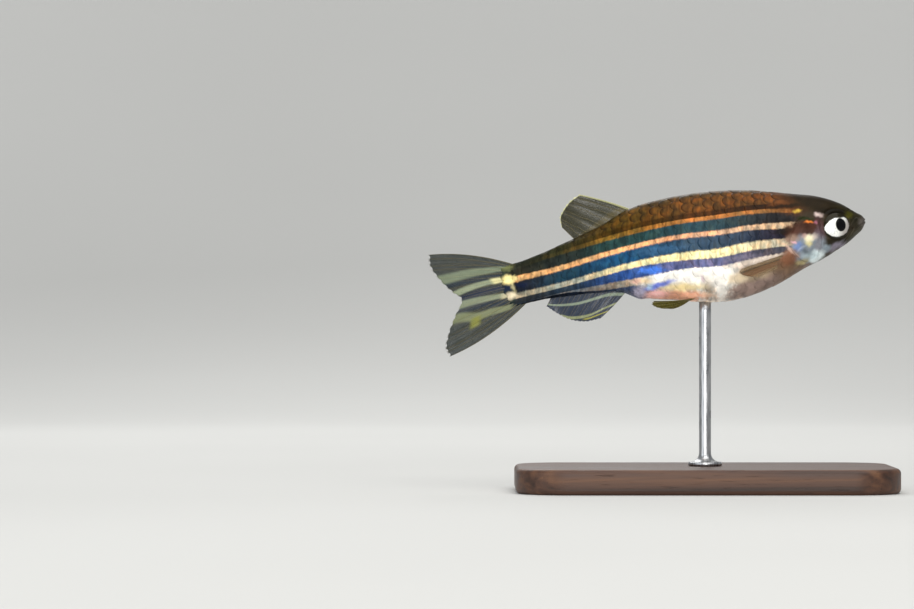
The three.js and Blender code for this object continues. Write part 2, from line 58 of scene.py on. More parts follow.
# %% Landmarks of the body
# Distance behind the snout, height of the back, depth of the belly, half width, squareness of each.
LANDMARKS = np.array([
    (-0.18, 0.60, -0.55, 0.80, 2.1, 2.1),  # snout tip
    (0.4, 0.80, -1.00, 1.08, 2.2, 2.1),    # lips
    (0.8, 1.08, -1.27, 1.26, 2.2, 2.1),    # chin
    (1.8, 1.86, -1.94, 1.68, 2.3, 2.1),    # nostril
    (2.9, 2.49, -2.47, 2.02, 2.4, 2.0),    # eye
    (4.6, 3.17, -3.27, 2.36, 2.3, 2.0),    # cheek
    (6.5, 3.62, -3.90, 2.60, 2.1, 2.0),    # nape
    (8.5, 4.10, -4.79, 2.80, 2.0, 2.1),    # shoulder
    (11.2, 4.66, -5.67, 3.00, 1.9, 2.2),   # chest
    (14.4, 5.04, -6.12, 3.08, 1.9, 2.3),   # belly
    (17.4, 5.15, -5.82, 2.98, 1.9, 2.3),   # middle of the back
    (20.0, 5.12, -5.15, 2.70, 1.9, 2.2),   # pelvic fins
    (22.6, 4.88, -4.48, 2.32, 1.9, 2.0),   # dorsal fin's root
    (24.1, 4.48, -4.02, 2.06, 1.9, 1.9),   # vent
    (25.6, 4.00, -3.05, 1.84, 1.9, 1.8),   # anal fin's root
    (28.2, 3.52, -2.46, 1.48, 1.9, 1.8),   # end of the dorsal fin
    (31.2, 3.02, -2.02, 1.16, 1.9, 1.8),   # stalk
    (33.6, 2.70, -1.73, 0.90, 1.9, 1.8),   # thinnest part of the stalk
    (35.8, 2.60, -1.68, 0.52, 2.0, 2.0),   # root of the tail fin
])
SNOUT_TIP = LANDMARKS[0, 0]  # the blunt snout stands a little ahead of the zero
SNOUT_ROUND = 0.6  # length over which the snout rounds off
SKIN_END = 36.5  # the scaly root of the tail fin reaches a little past the body
STALK_THINS = dict(start=34.6, share=0.72)  # where and by how much the stalk thins into the fin
print("landmarks:", len(LANDMARKS), "from", SNOUT_TIP, "to", LANDMARKS[-1, 0], "mm")

# %% Smooth steps and curves
def smooth(low, high, x):
    """0 below low, 1 above high, and an even S curve between them."""
    t = np.clip((x - low) / (high - low), 0, 1)
    return t * t * (3 - 2 * t)


def curve(knots, values, x):
    """A smooth curve through values at knots: each slope is the mean of its two neighbours'."""
    knots, values = np.asarray(knots, float), np.asarray(values, float)
    secant = np.diff(values, axis=0) / np.diff(knots)[(...,) + (None,) * (values.ndim - 1)]
    slope = np.concatenate([secant[:1], (secant[1:] + secant[:-1]) / 2, secant[-1:]])
    x = np.clip(x, knots[0], knots[-1])
    k = np.clip(np.searchsorted(knots, x, side="right") - 1, 0, len(knots) - 2)
    step = knots[k + 1] - knots[k]
    t = (x - knots[k]) / step
    if values.ndim > 1:
        t, step = t[..., None], step[..., None]
    start = (1 + 2 * t) * (1 - t) ** 2 * values[k] + t * (1 - t) ** 2 * step * slope[k]
    return start + t * t * (3 - 2 * t) * values[k + 1] + t * t * (t - 1) * step * slope[k + 1]


print("a curve through 0, 1, 0, a quarter of the way:", curve([0, 1, 2], [0, 1, 0], np.array(0.5)).round(3))

# %% Sizes at any place
def sizes(behind):
    """Back, belly, half width and the two squarenesses, at distances behind the snout."""
    row = curve(LANDMARKS[:, 0], LANDMARKS[:, 1:], behind)
    ahead = 1 - np.clip((behind - SNOUT_TIP) / SNOUT_ROUND, 0, 1)
    row[..., :3] *= np.sqrt(np.maximum(1 - ahead**2, 0))[..., None]
    row[..., 2] *= 1 - STALK_THINS["share"] * smooth(STALK_THINS["start"], SKIN_END, behind)
    return np.moveaxis(row, -1, 0)


def side_at(behind, up):
    """Half width of the body at a height over its axis."""
    back, belly, half, back_power, belly_power = sizes(np.asarray(behind, float))
    tall, power = np.where(up >= 0, back, -belly), np.where(up >= 0, back_power, belly_power)
    return half * np.maximum(1 - np.abs(up / tall) ** power, 0) ** (1 / power)


print("back at the middle:", round(float(sizes(np.array(17.0))[0]), 2), "mm over the axis")

# %% [markdown]
# ## The spine
# The fish swims slightly upwards: its axis rises to the head, more steeply at the tail, and its body
# curls slightly away from us. Bending every finished point along one spine keeps all the pieces
# together, which is simpler and steadier than an armature for a still model.

# %% Turns of the axis
# Degrees that the axis rises and turns at the head and at the tail, and where it changes between them.
PITCH = dict(head=7.9, tail=15.2, start=13, end=27)
YAW = dict(head=5, tail=-13, start=4, end=40)


def heading(behind):
    """Pitch and yaw of the axis, in radians."""
    angles = []
    for way in (PITCH, YAW):
        share = smooth(way["start"], way["end"], behind)
        angles.append(np.radians(way["head"] + (way["tail"] - way["head"]) * share))
    return angles


def axes_at(behind):
    """Forward, left and up of the fish at distances behind the snout."""
    pitch, yaw = heading(behind)
    flat = np.cos(pitch)
    forward = np.stack([flat * np.cos(yaw), flat * np.sin(yaw), np.sin(pitch)], -1)
    left = np.stack([-np.sin(yaw), np.cos(yaw), np.zeros_like(yaw)], -1)
    up = np.stack([-np.sin(pitch) * np.cos(yaw), -np.sin(pitch) * np.sin(yaw), flat], -1)
    return forward, left, up


print("forward at the head:", axes_at(np.array(0.0))[0].round(2))

# %% The spine
HELD_AT = 16.1  # the rod stands under this place
HELD_HEIGHT = 24.8  # height of the axis there
SPINE_STEP = 0.1
SPINE_LONG = 48
spine_at = np.arange(0, SPINE_LONG, SPINE_STEP)
spine = -np.cumsum(axes_at(spine_at + SPINE_STEP / 2)[0] * SPINE_STEP, axis=0)
spine = np.concatenate([np.zeros((1, 3)), spine[:-1]])
spine += np.array([0, 0, HELD_HEIGHT]) - spine[round(HELD_AT / SPINE_STEP)]


def bend(points):
    """Straight points, with x minus the distance behind the snout, bent along the spine."""
    behind = -points[..., 0]
    forward, left, up = axes_at(behind)
    axis = np.stack([np.interp(behind, spine_at, spine[:, k]) for k in range(3)], -1)
    axis -= np.minimum(behind, 0)[..., None] * forward
    return axis + left * points[..., 1:2] + up * points[..., 2:3]


print("snout at", bend(np.array([[0.0, 0, 0]])).round(2))

# %% [markdown]
# ## Round the body
# Scales sit in even rows, so places on the body are given by the distance behind the snout and by the
# share of the girth, which starts at the middle of the belly and goes up the right side. A table of
# equal steps along each section turns a share of the girth into an angle.

# %% A table of the girth
TABLE_BEHIND = np.linspace(SNOUT_TIP, SKIN_END, 260)
TABLE_SHARE = np.linspace(0, 1, 241)
GIRTH_STEPS = 1440  # small steps, by which the length round a section is added up
ROOT_EDGE = dict(start=34.9, deep=0.35, middle=0.4, half=2.2)  # round end of the tail fin's fleshy root


def section_point(behind, angle):
    """A point of the section, with 0 the left side and a quarter turn the back."""
    back, belly, half, back_power, belly_power = sizes(behind)
    across, up = np.cos(angle), np.sin(angle)
    power = np.where(up >= 0, back_power, belly_power)
    tall = np.where(up >= 0, back, -belly)
    y = half * np.sign(across) * np.abs(across) ** (2 / power)
    return np.stack([-behind, y, tall * np.sign(up) * np.abs(up) ** (2 / power)], -1)


def girth_table():
    """The angle at each share of the girth, one row for each distance behind the snout."""
    angle = -np.pi / 2 - np.linspace(0, 2 * np.pi, GIRTH_STEPS + 1)
    rows = []
    for behind in np.maximum(TABLE_BEHIND, SNOUT_TIP + 0.01):
        ring = section_point(np.full_like(angle, behind), angle)
        length = np.r_[0, np.cumsum(np.linalg.norm(np.diff(ring, axis=0), axis=1))]
        rows.append(np.interp(TABLE_SHARE, length / length[-1], angle))
    return np.array(rows)


GIRTH = girth_table()
print("angles in the table:", GIRTH.shape)

# %% Places on the body
def on_body(behind, share):
    """Points of the bare body at places (behind, share), on the straight fish."""
    row = np.clip((behind - SNOUT_TIP) / (SKIN_END - SNOUT_TIP), 0, 1) * (len(TABLE_BEHIND) - 1)
    column = np.clip(share, 0, 1) * (len(TABLE_SHARE) - 1)
    r = np.minimum(row.astype(int), len(TABLE_BEHIND) - 2)
    c = np.minimum(column.astype(int), len(TABLE_SHARE) - 2)
    tr, tc = row - r, column - c
    near = GIRTH[r, c] * (1 - tc) + GIRTH[r, c + 1] * tc
    far = GIRTH[r + 1, c] * (1 - tc) + GIRTH[r + 1, c + 1] * tc
    point = section_point(behind, near * (1 - tr) + far * tr)
    off_middle = (point[..., 2] - ROOT_EDGE["middle"]) / ROOT_EDGE["half"]
    bulge = smooth(ROOT_EDGE["start"], SKIN_END, behind) * ROOT_EDGE["deep"] * (1 - off_middle**2)
    point[..., 0] -= bulge
    return point


def body_normal(behind, share):
    """Outward normals of the bare body, from small steps along and round it."""
    step, turn = 0.02, 0.002
    along = on_body(behind + step, share) - on_body(behind - step, share)
    low, high = np.clip(share - turn, 0, 1), np.clip(share + turn, 0, 1)
    round_it = on_body(behind, high) - on_body(behind, low)
    normal = np.cross(round_it, along)
    normal /= np.maximum(np.linalg.norm(normal, axis=-1, keepdims=True), 1e-9)
    return normal


check = body_normal(np.array([17.0]), np.array([0.25]))
print("normal at the middle of the right side:", check.round(2))

# %% [markdown]
# ## Stripes as a coordinate
# Blue and golden stripes along the flank give the zebra danio its name. Painting them by hand would
# need an image, so each border between two stripes is one smooth curve along the fish. A point's place
# between its two borders becomes a number called the band, stored on the mesh, and the materials turn
# it into colours. Skin, gill covers and scales then agree without any texture.

# %% Borders of the stripes
BORDER_AT = [6.0, 9.0, 12.0, 15.0, 18.5, 23.0, 27.0, 31.0, 35.5]
GOLD_1_TOP = [2.00, 2.42, 2.60, 2.58, 2.67, 2.69, 2.60, 2.47, 2.25]
GOLD_1_LOW = [1.60, 2.03, 2.25, 2.21, 2.30, 2.25, 2.21, 2.12, 1.96]
GOLD_2_TOP = [0.70, 0.98, 1.10, 1.02, 1.20, 1.20, 1.15, 1.06, 1.28]
GOLD_2_LOW = [0.12, 0.40, 0.68, 0.62, 0.82, 0.80, 0.70, 0.60, 0.72]
GOLD_3_TOP = [-0.80, -0.64, -0.56, -0.80, -0.63, -0.50, -0.56, -0.62, -0.42]
GOLD_3_LOW = [-1.50, -1.40, -1.38, -1.62, -1.36, -1.05, -1.06, -1.07, -0.92]
BLUE_3_LOW = [-1.95, -2.06, -2.22, -2.50, -2.26, -2.17, -1.88, -1.60, -1.45]
SILVER_LOW = [-3.20, -3.90, -4.60, -4.90, -4.60, -2.95, -2.45, -1.66, -1.50]
DARK_LINE = 0.5  # height of the brown line over the first gold stripe
THINNEST = 0.02  # least height of a stripe
BANDS = 10


def band_at(behind, up):
    """Which stripe a point is in, from 0 at the middle of the back to 10 under the belly."""
    back, belly = sizes(behind)[:2]
    lines = [curve(BORDER_AT, line, behind) for line in (
        GOLD_1_TOP, GOLD_1_LOW, GOLD_2_TOP, GOLD_2_LOW, GOLD_3_TOP, GOLD_3_LOW, BLUE_3_LOW, SILVER_LOW)]
    lines = [back, lines[0] + DARK_LINE, *lines, belly]
    for k in range(1, len(lines)):
        lines[k] = np.minimum(lines[k], lines[k - 1] - THINNEST)
    band = np.zeros_like(behind)
    for k, (top, low) in enumerate(zip(lines, lines[1:])):
        band = np.where(up < top, k + np.clip((top - up) / (top - low), 0, 1), band)
    return band


print("band of the axis at the middle:", band_at(np.array([17.0]), np.array([0.0])).round(2))

# %% [markdown]
# ## Patches
# A head has no stripes but blotches: a dark crown, a maroon cheek, a cream spot on a silver gill
# cover. Each is one soft oval with a place, a size, a lean and a colour, laid one over another like a
# painter's glazes. The same list holds the pink and blue lights on the belly and the cream spots where
# the tail fin starts. Colours are written as screen codes. They were set one by one and from mean
# colours measured in the photo.

# %% Screen colours
def rgb(code):
    """A colour as Blender's materials want it, from its usual screen code."""
    part = [int(code[k:k + 2], 16) / 255 for k in (1, 3, 5)]
    return tuple(c / 12.92 if c < 0.04045 else ((c + 0.055) / 1.055) ** 2.4 for c in part) + (1.0,)


print("middle grey on a screen is", round(rgb("#808080")[0], 3), "of white in light")

# %% List of patches
# Place (behind, up), half sizes (along, up), degrees that it rises to the tail, softness, strength,
# shine, colour.
PATCHES = [
    # A painted shadow: the pectoral fin's shadow, laid on the chest as a brown patch.
    ("painted pectoral shadow", 10.6, -3.9, 3.4, 2.1, -12, 0.35, 0.8, 0.15, "#745b46"),
    ("lilac chest", 12.2, -5.1, 2.9, 0.85, -12, 0.6, 0.8, 0.3, "#98847c"),
    ("pale shoulder", 11.4, -2.35, 2.8, 0.44, -8, 0.6, 1.0, 0.4, "#f4e4d4"),
    ("straw chest", 11.5, -4.0, 1.3, 0.35, -10, 0.7, 0.6, 0.3, "#bda98c"),
    ("bright belly", 18.4, -3.0, 5.0, 1.25, 9, 0.3, 0.95, 0.5, "#fffaf0"),
    ("cream flank", 13.6, -3.9, 1.3, 0.5, -6, 0.6, 0.8, 0.35, "#d6c2a0"),
    # A streak of silver skin with a painted highlight laid along it.
    ("bright streak", 15.2, -4.5, 0.52, 1.6, 10, 0.5, 1.0, 0.5, "#fffaf0"),
    ("shaded streak", 16.7, -4.6, 0.55, 1.05, 8, 0.9, 0.8, 0.3, "#b3a28d"),
    ("fine streak", 17.05, -3.5, 0.14, 0.35, 4, 0.7, 0.6, 0.3, "#b592a4"),
    ("peach belly", 20.0, -4.75, 2.9, 0.62, 9, 0.45, 0.9, 0.3, "#f8b694"),
    ("pink belly", 21.9, -4.1, 1.2, 0.42, 9, 0.7, 0.9, 0.3, "#ffc6c2"),
    ("straw belly", 19.2, -3.95, 1.9, 0.36, 9, 0.8, 0.95, 0.4, "#ffe6a6"),
    ("blue light", 21.6, -3.33, 1.6, 0.24, -6, 0.5, 0.95, 0.3, "#7387e6"),
    ("blue core", 22.45, -3.28, 0.32, 0.3, 0, 0.7, 0.9, 0.35, "#c4e2ff"),
    ("pale vent", 23.6, -3.6, 0.6, 0.6, 10, 0.7, 0.9, 0.3, "#b4aec2"),
    ("pink flank", 23.6, -2.4, 0.65, 0.28, 12, 0.6, 0.85, 0.3, "#dcae9a"),
    ("peach flank", 22.7, -2.55, 0.5, 0.28, 12, 0.7, 0.8, 0.3, "#f6d8a4"),
    ("bright blue", 21.9, -1.72, 1.25, 0.36, 8, 0.6, 0.9, 0.35, "#4a7ee0"),
    ("teal light", 20.8, 0.1, 2.3, 0.42, 5, 0.7, 0.7, 0.3, "#365d80"),
    ("dusty blue", 13.0, -1.98, 1.8, 0.3, 0, 0.7, 0.6, 0.35, "#857f92"),
    ("face", 1.6, 0.0, 5.5, 5.2, 0, 0.14, 1.0, 0.1, "#3a3226"),
    ("nape", 7.5, 3.2, 1.9, 1.3, 14, 0.6, 0.9, 0.05, "#633919"),
    ("nape line", 7.8, 2.52, 1.9, 0.2, 3, 0.6, 0.9, 0.05, "#1d1104"),
    ("crown", 4.59, 2.7, 3.4, 1.35, 20, 0.45, 0.97, 0.05, "#201707"),
    ("snout", 1.42, 0.95, 1.5, 0.8, 34, 0.6, 0.8, 0.08, "#24220f"),
    ("olive light", 1.7, 0.85, 0.42, 0.26, 30, 0.7, 0.85, 0.2, "#55520f"),
    ("muzzle", 0.9, -0.1, 0.75, 0.6, 0, 0.7, 0.7, 0.08, "#26241a"),
    ("lips", 0.2, -0.1, 0.55, 0.5, 0, 0.5, 0.75, 0.2, "#55504c"),
    # Dark skin over the eye, with painted shade under the rim of the socket.
    ("brow", 3.07, 1.25, 1.5, 0.4, 10, 0.5, 0.95, 0.05, "#120e06"),
    ("under the eye", 3.2, -1.6, 1.7, 0.36, -4, 0.6, 0.85, 0.1, "#28251a"),
    ("chin", 1.5, -1.5, 1.4, 0.5, -38, 0.6, 0.7, 0.15, "#3b3a2c"),
    ("jaw silver", 3.3, -2.12, 0.85, 0.32, -22, 0.6, 0.85, 0.45, "#8d8796"),
    ("jaw blue", 4.4, -2.25, 0.5, 0.36, -10, 0.6, 0.9, 0.45, "#98a7b0"),
    ("cheek", 4.85, 0.0, 0.42, 1.2, 0, 0.6, 0.9, 0.1, "#4b3536"),
    ("gill cover", 6.3, -1.75, 1.75, 1.6, 0, 0.3, 1.0, 0.4, "#868f98"),
    ("gill white", 5.4, -2.85, 0.8, 0.58, -15, 0.5, 1.0, 0.5, "#eaf6f7"),
    ("gill silver", 6.1, -2.75, 0.75, 0.42, -10, 0.6, 0.8, 0.5, "#aebfc4"),
    ("gill shade", 6.75, -2.2, 0.6, 0.2, 25, 0.8, 0.6, 0.2, "#5a646c"),
    ("gill grey", 5.2, -1.75, 0.35, 0.5, 0, 0.7, 0.7, 0.3, "#8d8a90"),
    ("gill blue", 7.25, -1.6, 0.45, 0.42, -30, 0.6, 0.9, 0.4, "#7b93c4"),
    ("gill line", 7.0, -1.85, 0.5, 0.09, -28, 0.8, 0.5, 0.5, "#c3cce0"),
    ("maroon cover", 6.2, 0.1, 1.75, 0.82, 4, 0.4, 0.95, 0.08, "#432a20"),
    ("maroon wedge", 7.8, -0.3, 0.65, 0.8, -20, 0.5, 0.9, 0.08, "#4d2f24"),
    ("lilac cheek", 4.95, -0.6, 0.45, 0.7, 0, 0.7, 0.6, 0.2, "#6a5860"),
    ("dull end", 7.9, -0.85, 0.75, 0.42, -5, 0.7, 0.7, 0.2, "#9c8270"),
    ("dark end", 8.5, 0.1, 0.9, 0.32, 0, 0.7, 0.7, 0.1, "#1d1912"),
    ("gold end", 6.85, 1.88, 0.36, 0.14, 0, 0.7, 0.9, 0.3, "#c4a03e"),
    ("pale end", 5.55, -0.88, 0.4, 0.26, -6, 0.7, 0.8, 0.3, "#cdbcb0"),
    ("pink end", 6.5, -0.7, 0.32, 0.2, 10, 0.75, 0.8, 0.3, "#c09a8e"),
    ("yellow foot", 6.14, -1.4, 0.3, 0.36, 0, 0.75, 0.9, 0.3, "#d8cc94"),
    ("cream spot", 6.08, -0.95, 0.44, 0.36, 0, 0.6, 1.0, 0.35, "#f9edc8"),
    ("pink spot", 4.92, 1.27, 0.3, 0.2, 8, 0.7, 0.9, 0.3, "#e2ccc4"),
    ("pink spot behind the eye", 4.5, 1.15, 0.24, 0.18, 0, 0.7, 0.85, 0.3, "#c9b4ac"),
    ("green dash", 6.1, 1.0, 0.7, 0.17, 12, 0.7, 0.85, 0.05, "#1d2a0c"),
    ("orange dash", 5.9, 0.64, 0.44, 0.1, 6, 0.75, 1.0, 0.25, "#e8823a"),
    ("pink bit", 5.16, 0.55, 0.18, 0.13, 0, 0.8, 0.7, 0.25, "#a8687a"),
    ("brown root", 8.3, -2.6, 0.95, 0.75, -30, 0.5, 0.9, 0.1, "#80553e"),
    ("gill rim", 8.05, -1.9, 0.15, 0.9, -42, 0.8, 0.75, 0.3, "#cfae9c"),
    ("gill notch", 7.68, -1.17, 0.26, 0.08, 32, 0.7, 0.9, 0.3, "#e0aeb4"),
    ("throat", 6.95, -3.22, 0.6, 0.26, -14, 0.7, 0.75, 0.2, "#b8a874"),
    ("tail root", 37.3, 0.4, 1.3, 3.4, 0, 0.4, 0.8, 0.1, "#26352f"),
    ("navy root", 35.0, 0.25, 0.75, 0.28, 8, 0.7, 0.9, 0.1, "#121c34"),
    ("navy end", 36.5, 0.35, 0.5, 0.4, 0, 0.7, 0.85, 0.1, "#15203c"),
    ("olive root", 36.3, 2.45, 0.8, 0.4, 10, 0.8, 0.8, 0.1, "#6a6e44"),
    ("tail bar", 35.85, 0.35, 0.16, 0.8, 0, 0.8, 0.8, 0.2, "#b5ab80"),
    ("upper tail spot", 36.1, 1.15, 0.8, 0.42, 6, 0.6, 1.0, 0.25, "#f7e49a"),
    ("lower tail spot", 36.4, -0.5, 0.62, 0.32, 0, 0.65, 1.0, 0.25, "#dfcfae"),
]
BELLY_FROM = 9.0  # patches behind this place and lower than BELLY_UP end at the lowest blue stripe
BELLY_UP = -2.0
print("patches:", len(PATCHES))

# %% Laying the patches
def patch_at(behind, up):
    """The patches' colour, how far it covers the stripes, and its shine, at each point."""
    colour = np.zeros(behind.shape + (3,))
    cover, shine = np.zeros_like(behind), np.zeros_like(behind)
    for _, at, high, along, tall, lean, soft, strength, gloss, code in PATCHES:
        c, s = math.cos(math.radians(lean)), math.sin(math.radians(lean))
        # Waves of two lengths keep the ovals from looking drawn with a compass.
        wave = np.sin(12 * behind + 9 * up)
        x = behind - at + 0.06 * np.sin(5.1 * up + 1.7 * behind + at) + 0.03 * np.sin(13 * up - 8 * behind)
        y = up - high + 0.05 * np.sin(4.3 * behind - 2.9 * up + at) + 0.03 * wave
        reach = np.hypot((x * c + y * s) / along, (y * c - x * s) / tall)
        weight = strength * (1 - smooth(1 - soft, 1 + soft, reach))
        if at > BELLY_FROM and high < BELLY_UP:
            weight = weight * smooth(-0.1, 0.1, curve(BORDER_AT, BLUE_3_LOW, behind) + 0.05 * wave - up)
        total = weight + cover * (1 - weight)
        share = weight / np.maximum(total, 1e-6)
        colour += (np.array(rgb(code)[:3]) - colour) * share[..., None]
        shine += (gloss - shine) * share
        cover = total
    return colour, cover, shine


print("cover of the bright belly:", patch_at(np.array([18.4]), np.array([-3.0]))[1].round(2))

# %% [markdown]
# ## Making meshes from grids
# Every soft surface here is a grid of points pushed into place with numpy, which gives full control
# of thin edges and holds thousands of points in one call. Small helpers number the faces of grids,
# tubes and thin sheets. Another writes the mesh, its smooth shading and any values that a material
# reads, and the last gives a piece its material and its place in the frame.

# %% Faces of grids, tubes and sheets
def grid_faces(rows, columns, start=0, closed=False):
    """Quads over a grid of points. A closed grid joins its last column to its first."""
    row = np.arange(rows - 1)[:, None]
    column = np.arange(columns if closed else columns - 1)[None, :]
    beside = (column + 1) % columns
    quads = np.stack([row * columns + column, row * columns + beside,
                      (row + 1) * columns + beside, (row + 1) * columns + column], -1)
    return quads.reshape(-1, 4) + start


def tube_faces(rows, sides, start=0):
    """Quads round a tube of rings, and one face at each end."""
    last = start + (rows - 1) * sides
    ends = [list(range(start, start + sides))[::-1], list(range(last, last + sides))]
    return grid_faces(rows, sides, start, closed=True).tolist() + ends


def sheet_faces(rows, columns):
    """A thin closed sheet: a grid, the same grid turned over, and a wall round both."""
    front = grid_faces(rows, columns)
    index = np.arange(rows * columns).reshape(rows, columns)
    loop = np.concatenate([index[0, :-1], index[:-1, -1], index[-1, :0:-1], index[:0:-1, 0]])
    beside = np.roll(loop, -1)
    wall = np.stack([loop, loop + index.size, beside + index.size, beside], -1)
    return np.concatenate([front, front[:, ::-1] + index.size, wall])


print("a grid of 3 by 4 points has", len(grid_faces(3, 4)), "faces, and a sheet", len(sheet_faces(3, 4)))

# %% Pieces
def make_piece(name, points, faces, values=None, uv=None, flat=False):
    """A mesh object from straight points in millimetres, bent along the spine unless flat is set.

    Places on the map that colours are baked to are given by point or by corner."""
    mesh = bpy.data.meshes.new(name)
    placed = points if flat else bend(points)
    mesh.from_pydata((placed * MM).tolist(), [], [list(map(int, face)) for face in faces])
    mesh.shade_smooth()
    for label, value in (values or {}).items():
        value = np.asarray(value, np.float32)
        if value.ndim == 1:
            mesh.attributes.new(label, "FLOAT", "POINT").data.foreach_set("value", value)
        else:
            mesh.attributes.new(label, "FLOAT_COLOR", "POINT").data.foreach_set(
                "color", np.concatenate([value, np.ones((len(value), 1), np.float32)], 1).ravel())
    if uv is not None:
        uv = np.asarray(uv, np.float32)
        if len(uv) == len(points):
            corners = np.zeros(len(mesh.loops), np.int32)
            mesh.loops.foreach_get("vertex_index", corners)
            uv = uv[corners]
        mesh.uv_layers.new(name="OFBake").data.foreach_set("uv", uv.ravel())
    thing = bpy.data.objects.new(name, mesh)
    bpy.context.scene.collection.objects.link(thing)
    return thing


def finish_piece(thing, material, slot, *nodes):
    """Gives a piece its material and its place in the frame."""
    thing.data.materials.append(material)
    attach(thing, "root")
    if nodes:
        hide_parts(*nodes)
    print(thing.name, "has", len(thing.data.polygons), "faces")
    return thing


# %% [markdown]
# ## Building materials
# Node trees are easier to read when one short call adds a node, sets it and links it. Groups hold the
# effects that several materials share, and give out only colours, masks, heights and roughness, while
# each material keeps its own shader.

# %% Helpers for nodes
def put(tree, kind, inputs=None, **settings):
    """Adds a node. A value in inputs is linked if it is a socket, and otherwise set."""
    node = tree.nodes.new(kind)
    for key, value in settings.items():
        setattr(node, key, value)
    for key, value in (inputs or {}).items():
        if isinstance(value, bpy.types.NodeSocket):
            tree.links.new(value, node.inputs[key])
        else:
            node.inputs[key].default_value = value
    return node


def math_node(tree, operation, a, b=0.0):
    """One sum or other step of reckoning, as the socket that gives its result."""
    return put(tree, "ShaderNodeMath", {0: a, 1: b}, operation=operation).outputs[0]


def mix_colour(tree, share, a, b, blend="MIX"):
    """Colour a, turned into colour b by a share, or with b laid on it in another way."""
    node = put(tree, "ShaderNodeMix", data_type="RGBA", blend_type=blend)
    for key, value in ((0, share), (6, a), (7, b)):
        if isinstance(value, bpy.types.NodeSocket):
            tree.links.new(value, node.inputs[key])
        else:
            node.inputs[key].default_value = value
    return node.outputs[2]


print("Blender", bpy.app.version_string, "makes the nodes")

# %% Helpers that change values and colours
def between(tree, value, low, high, start=0.0, end=1.0):
    """A value moved from low..high to start..end, and kept inside it."""
    inputs = {"Value": value, "From Min": low, "From Max": high, "To Min": start, "To Max": end}
    return put(tree, "ShaderNodeMapRange", inputs, interpolation_type="SMOOTHSTEP").outputs[0]


def ramp(tree, value, stops):
    """A colour ramp through (place, colour) stops."""
    node = put(tree, "ShaderNodeValToRGB", {0: value})
    elements = node.color_ramp.elements
    while len(elements) < len(stops):
        elements.new(0.5)
    for element, (place, colour) in zip(elements, sorted(stops, key=lambda stop: stop[0])):
        element.position = place
        element.color = colour
    return node.outputs[0]


def toned(tree, colour, value):
    """A colour made lighter or darker by a value that changes over the surface."""
    grey = put(tree, "ShaderNodeCombineColor", {0: value, 1: value, 2: value}).outputs[0]
    return mix_colour(tree, 1.0, colour, grey, "MULTIPLY")


print("the longest ramp here has", 2 * BANDS + 1, "of the 32 stops that Blender allows")

# %% Places, noise and stored values
def own_place(tree):
    """The point that is being shaded, in the piece's own metres."""
    return put(tree, "ShaderNodeTexCoord").outputs["Object"]


def noise(tree, scale, detail):
    """Soft noise over the piece, around one half. The scale is a number per metre."""
    inputs = {"Vector": own_place(tree), "Scale": scale, "Detail": detail}
    return put(tree, "ShaderNodeTexNoise", inputs).outputs[0]


def stored(tree, name, kind="Fac"):
    """Reads a value or colour that make_piece stored on the points."""
    return put(tree, "ShaderNodeAttribute", attribute_name=name).outputs[kind]


PER_METRE = 1000.0  # turns a number per millimetre into one per metre
print("a noise of 9 per millimetre is", 9 * PER_METRE, "per metre")

# %% Helpers for groups and materials
def new_group(name, inputs, outputs):
    """A node group with its named sockets. Returns the tree, its inputs and its end node."""
    tree = bpy.data.node_groups.new(name, "ShaderNodeTree")
    for label, value in inputs.items():
        kind = "NodeSocketColor" if isinstance(value, tuple) else "NodeSocketFloat"
        tree.interface.new_socket(label, in_out="INPUT", socket_type=kind).default_value = value
    for label, kind in outputs.items():
        tree.interface.new_socket(label, in_out="OUTPUT", socket_type=kind)
    start = tree.nodes.new("NodeGroupInput").outputs
    return tree, start, tree.nodes.new("NodeGroupOutput")


def place_group(tree, group, **inputs):
    """Puts a group in a tree. A _ in the name of an input stands for a space."""
    node = put(tree, "ShaderNodeGroup", node_tree=group)
    for key, value in inputs.items():
        socket = node.inputs[key.replace("_", " ")]
        if isinstance(value, bpy.types.NodeSocket):
            tree.links.new(value, socket)
        else:
            socket.default_value = value
    return node.outputs


def new_material(name, **constant):
    """A material with one Principled shader whose fixed settings stay on its own sockets."""
    material = bpy.data.materials.new(name)
    material.use_nodes = True
    tree = material.node_tree
    shader = tree.nodes["Principled BSDF"]
    for key, value in constant.items():
        shader.inputs[key.replace("_", " ")].default_value = value
    return material, tree, shader


def drive(tree, shader, **sockets):
    """Links values that change over the surface to the shader's sockets."""
    for key, value in sockets.items():
        tree.links.new(value, shader.inputs[key.replace("_", " ")])


print("materials that came with the frame:", len(bpy.data.materials))

# %% [markdown]
# ## Shared effects
# Three effects return all over this model. Pigment cells show as fine dark specks on skin and fins. A
# film of slime gives every wet surface small changes of gloss and a very fine relief. Streaks run
# along wood grain and brushed steel, and across the fish where rows of plates catch the light, as
# painted glints.

# %% Pigment specks
def speck_group():
    """Round dots, of which only a chosen share is kept."""
    tree, given, end = new_group("Pigment specks", {"Per mm": 8.0, "Amount": 0.5, "Size": 0.3},
                                 {"Mask": "NodeSocketFloat"})
    per_metre = math_node(tree, "MULTIPLY", given["Per mm"], PER_METRE)
    cells = put(tree, "ShaderNodeTexVoronoi", {"Vector": own_place(tree), "Scale": per_metre})
    dots = math_node(tree, "LESS_THAN", cells.outputs["Distance"], given["Size"])
    chosen = put(tree, "ShaderNodeSeparateColor", {0: cells.outputs["Color"]}).outputs[0]
    kept = math_node(tree, "LESS_THAN", chosen, given["Amount"])
    tree.links.new(math_node(tree, "MULTIPLY", dots, kept), end.inputs["Mask"])
    return tree


SPECKS = speck_group()
print(SPECKS.name, "has", len(SPECKS.nodes), "nodes")

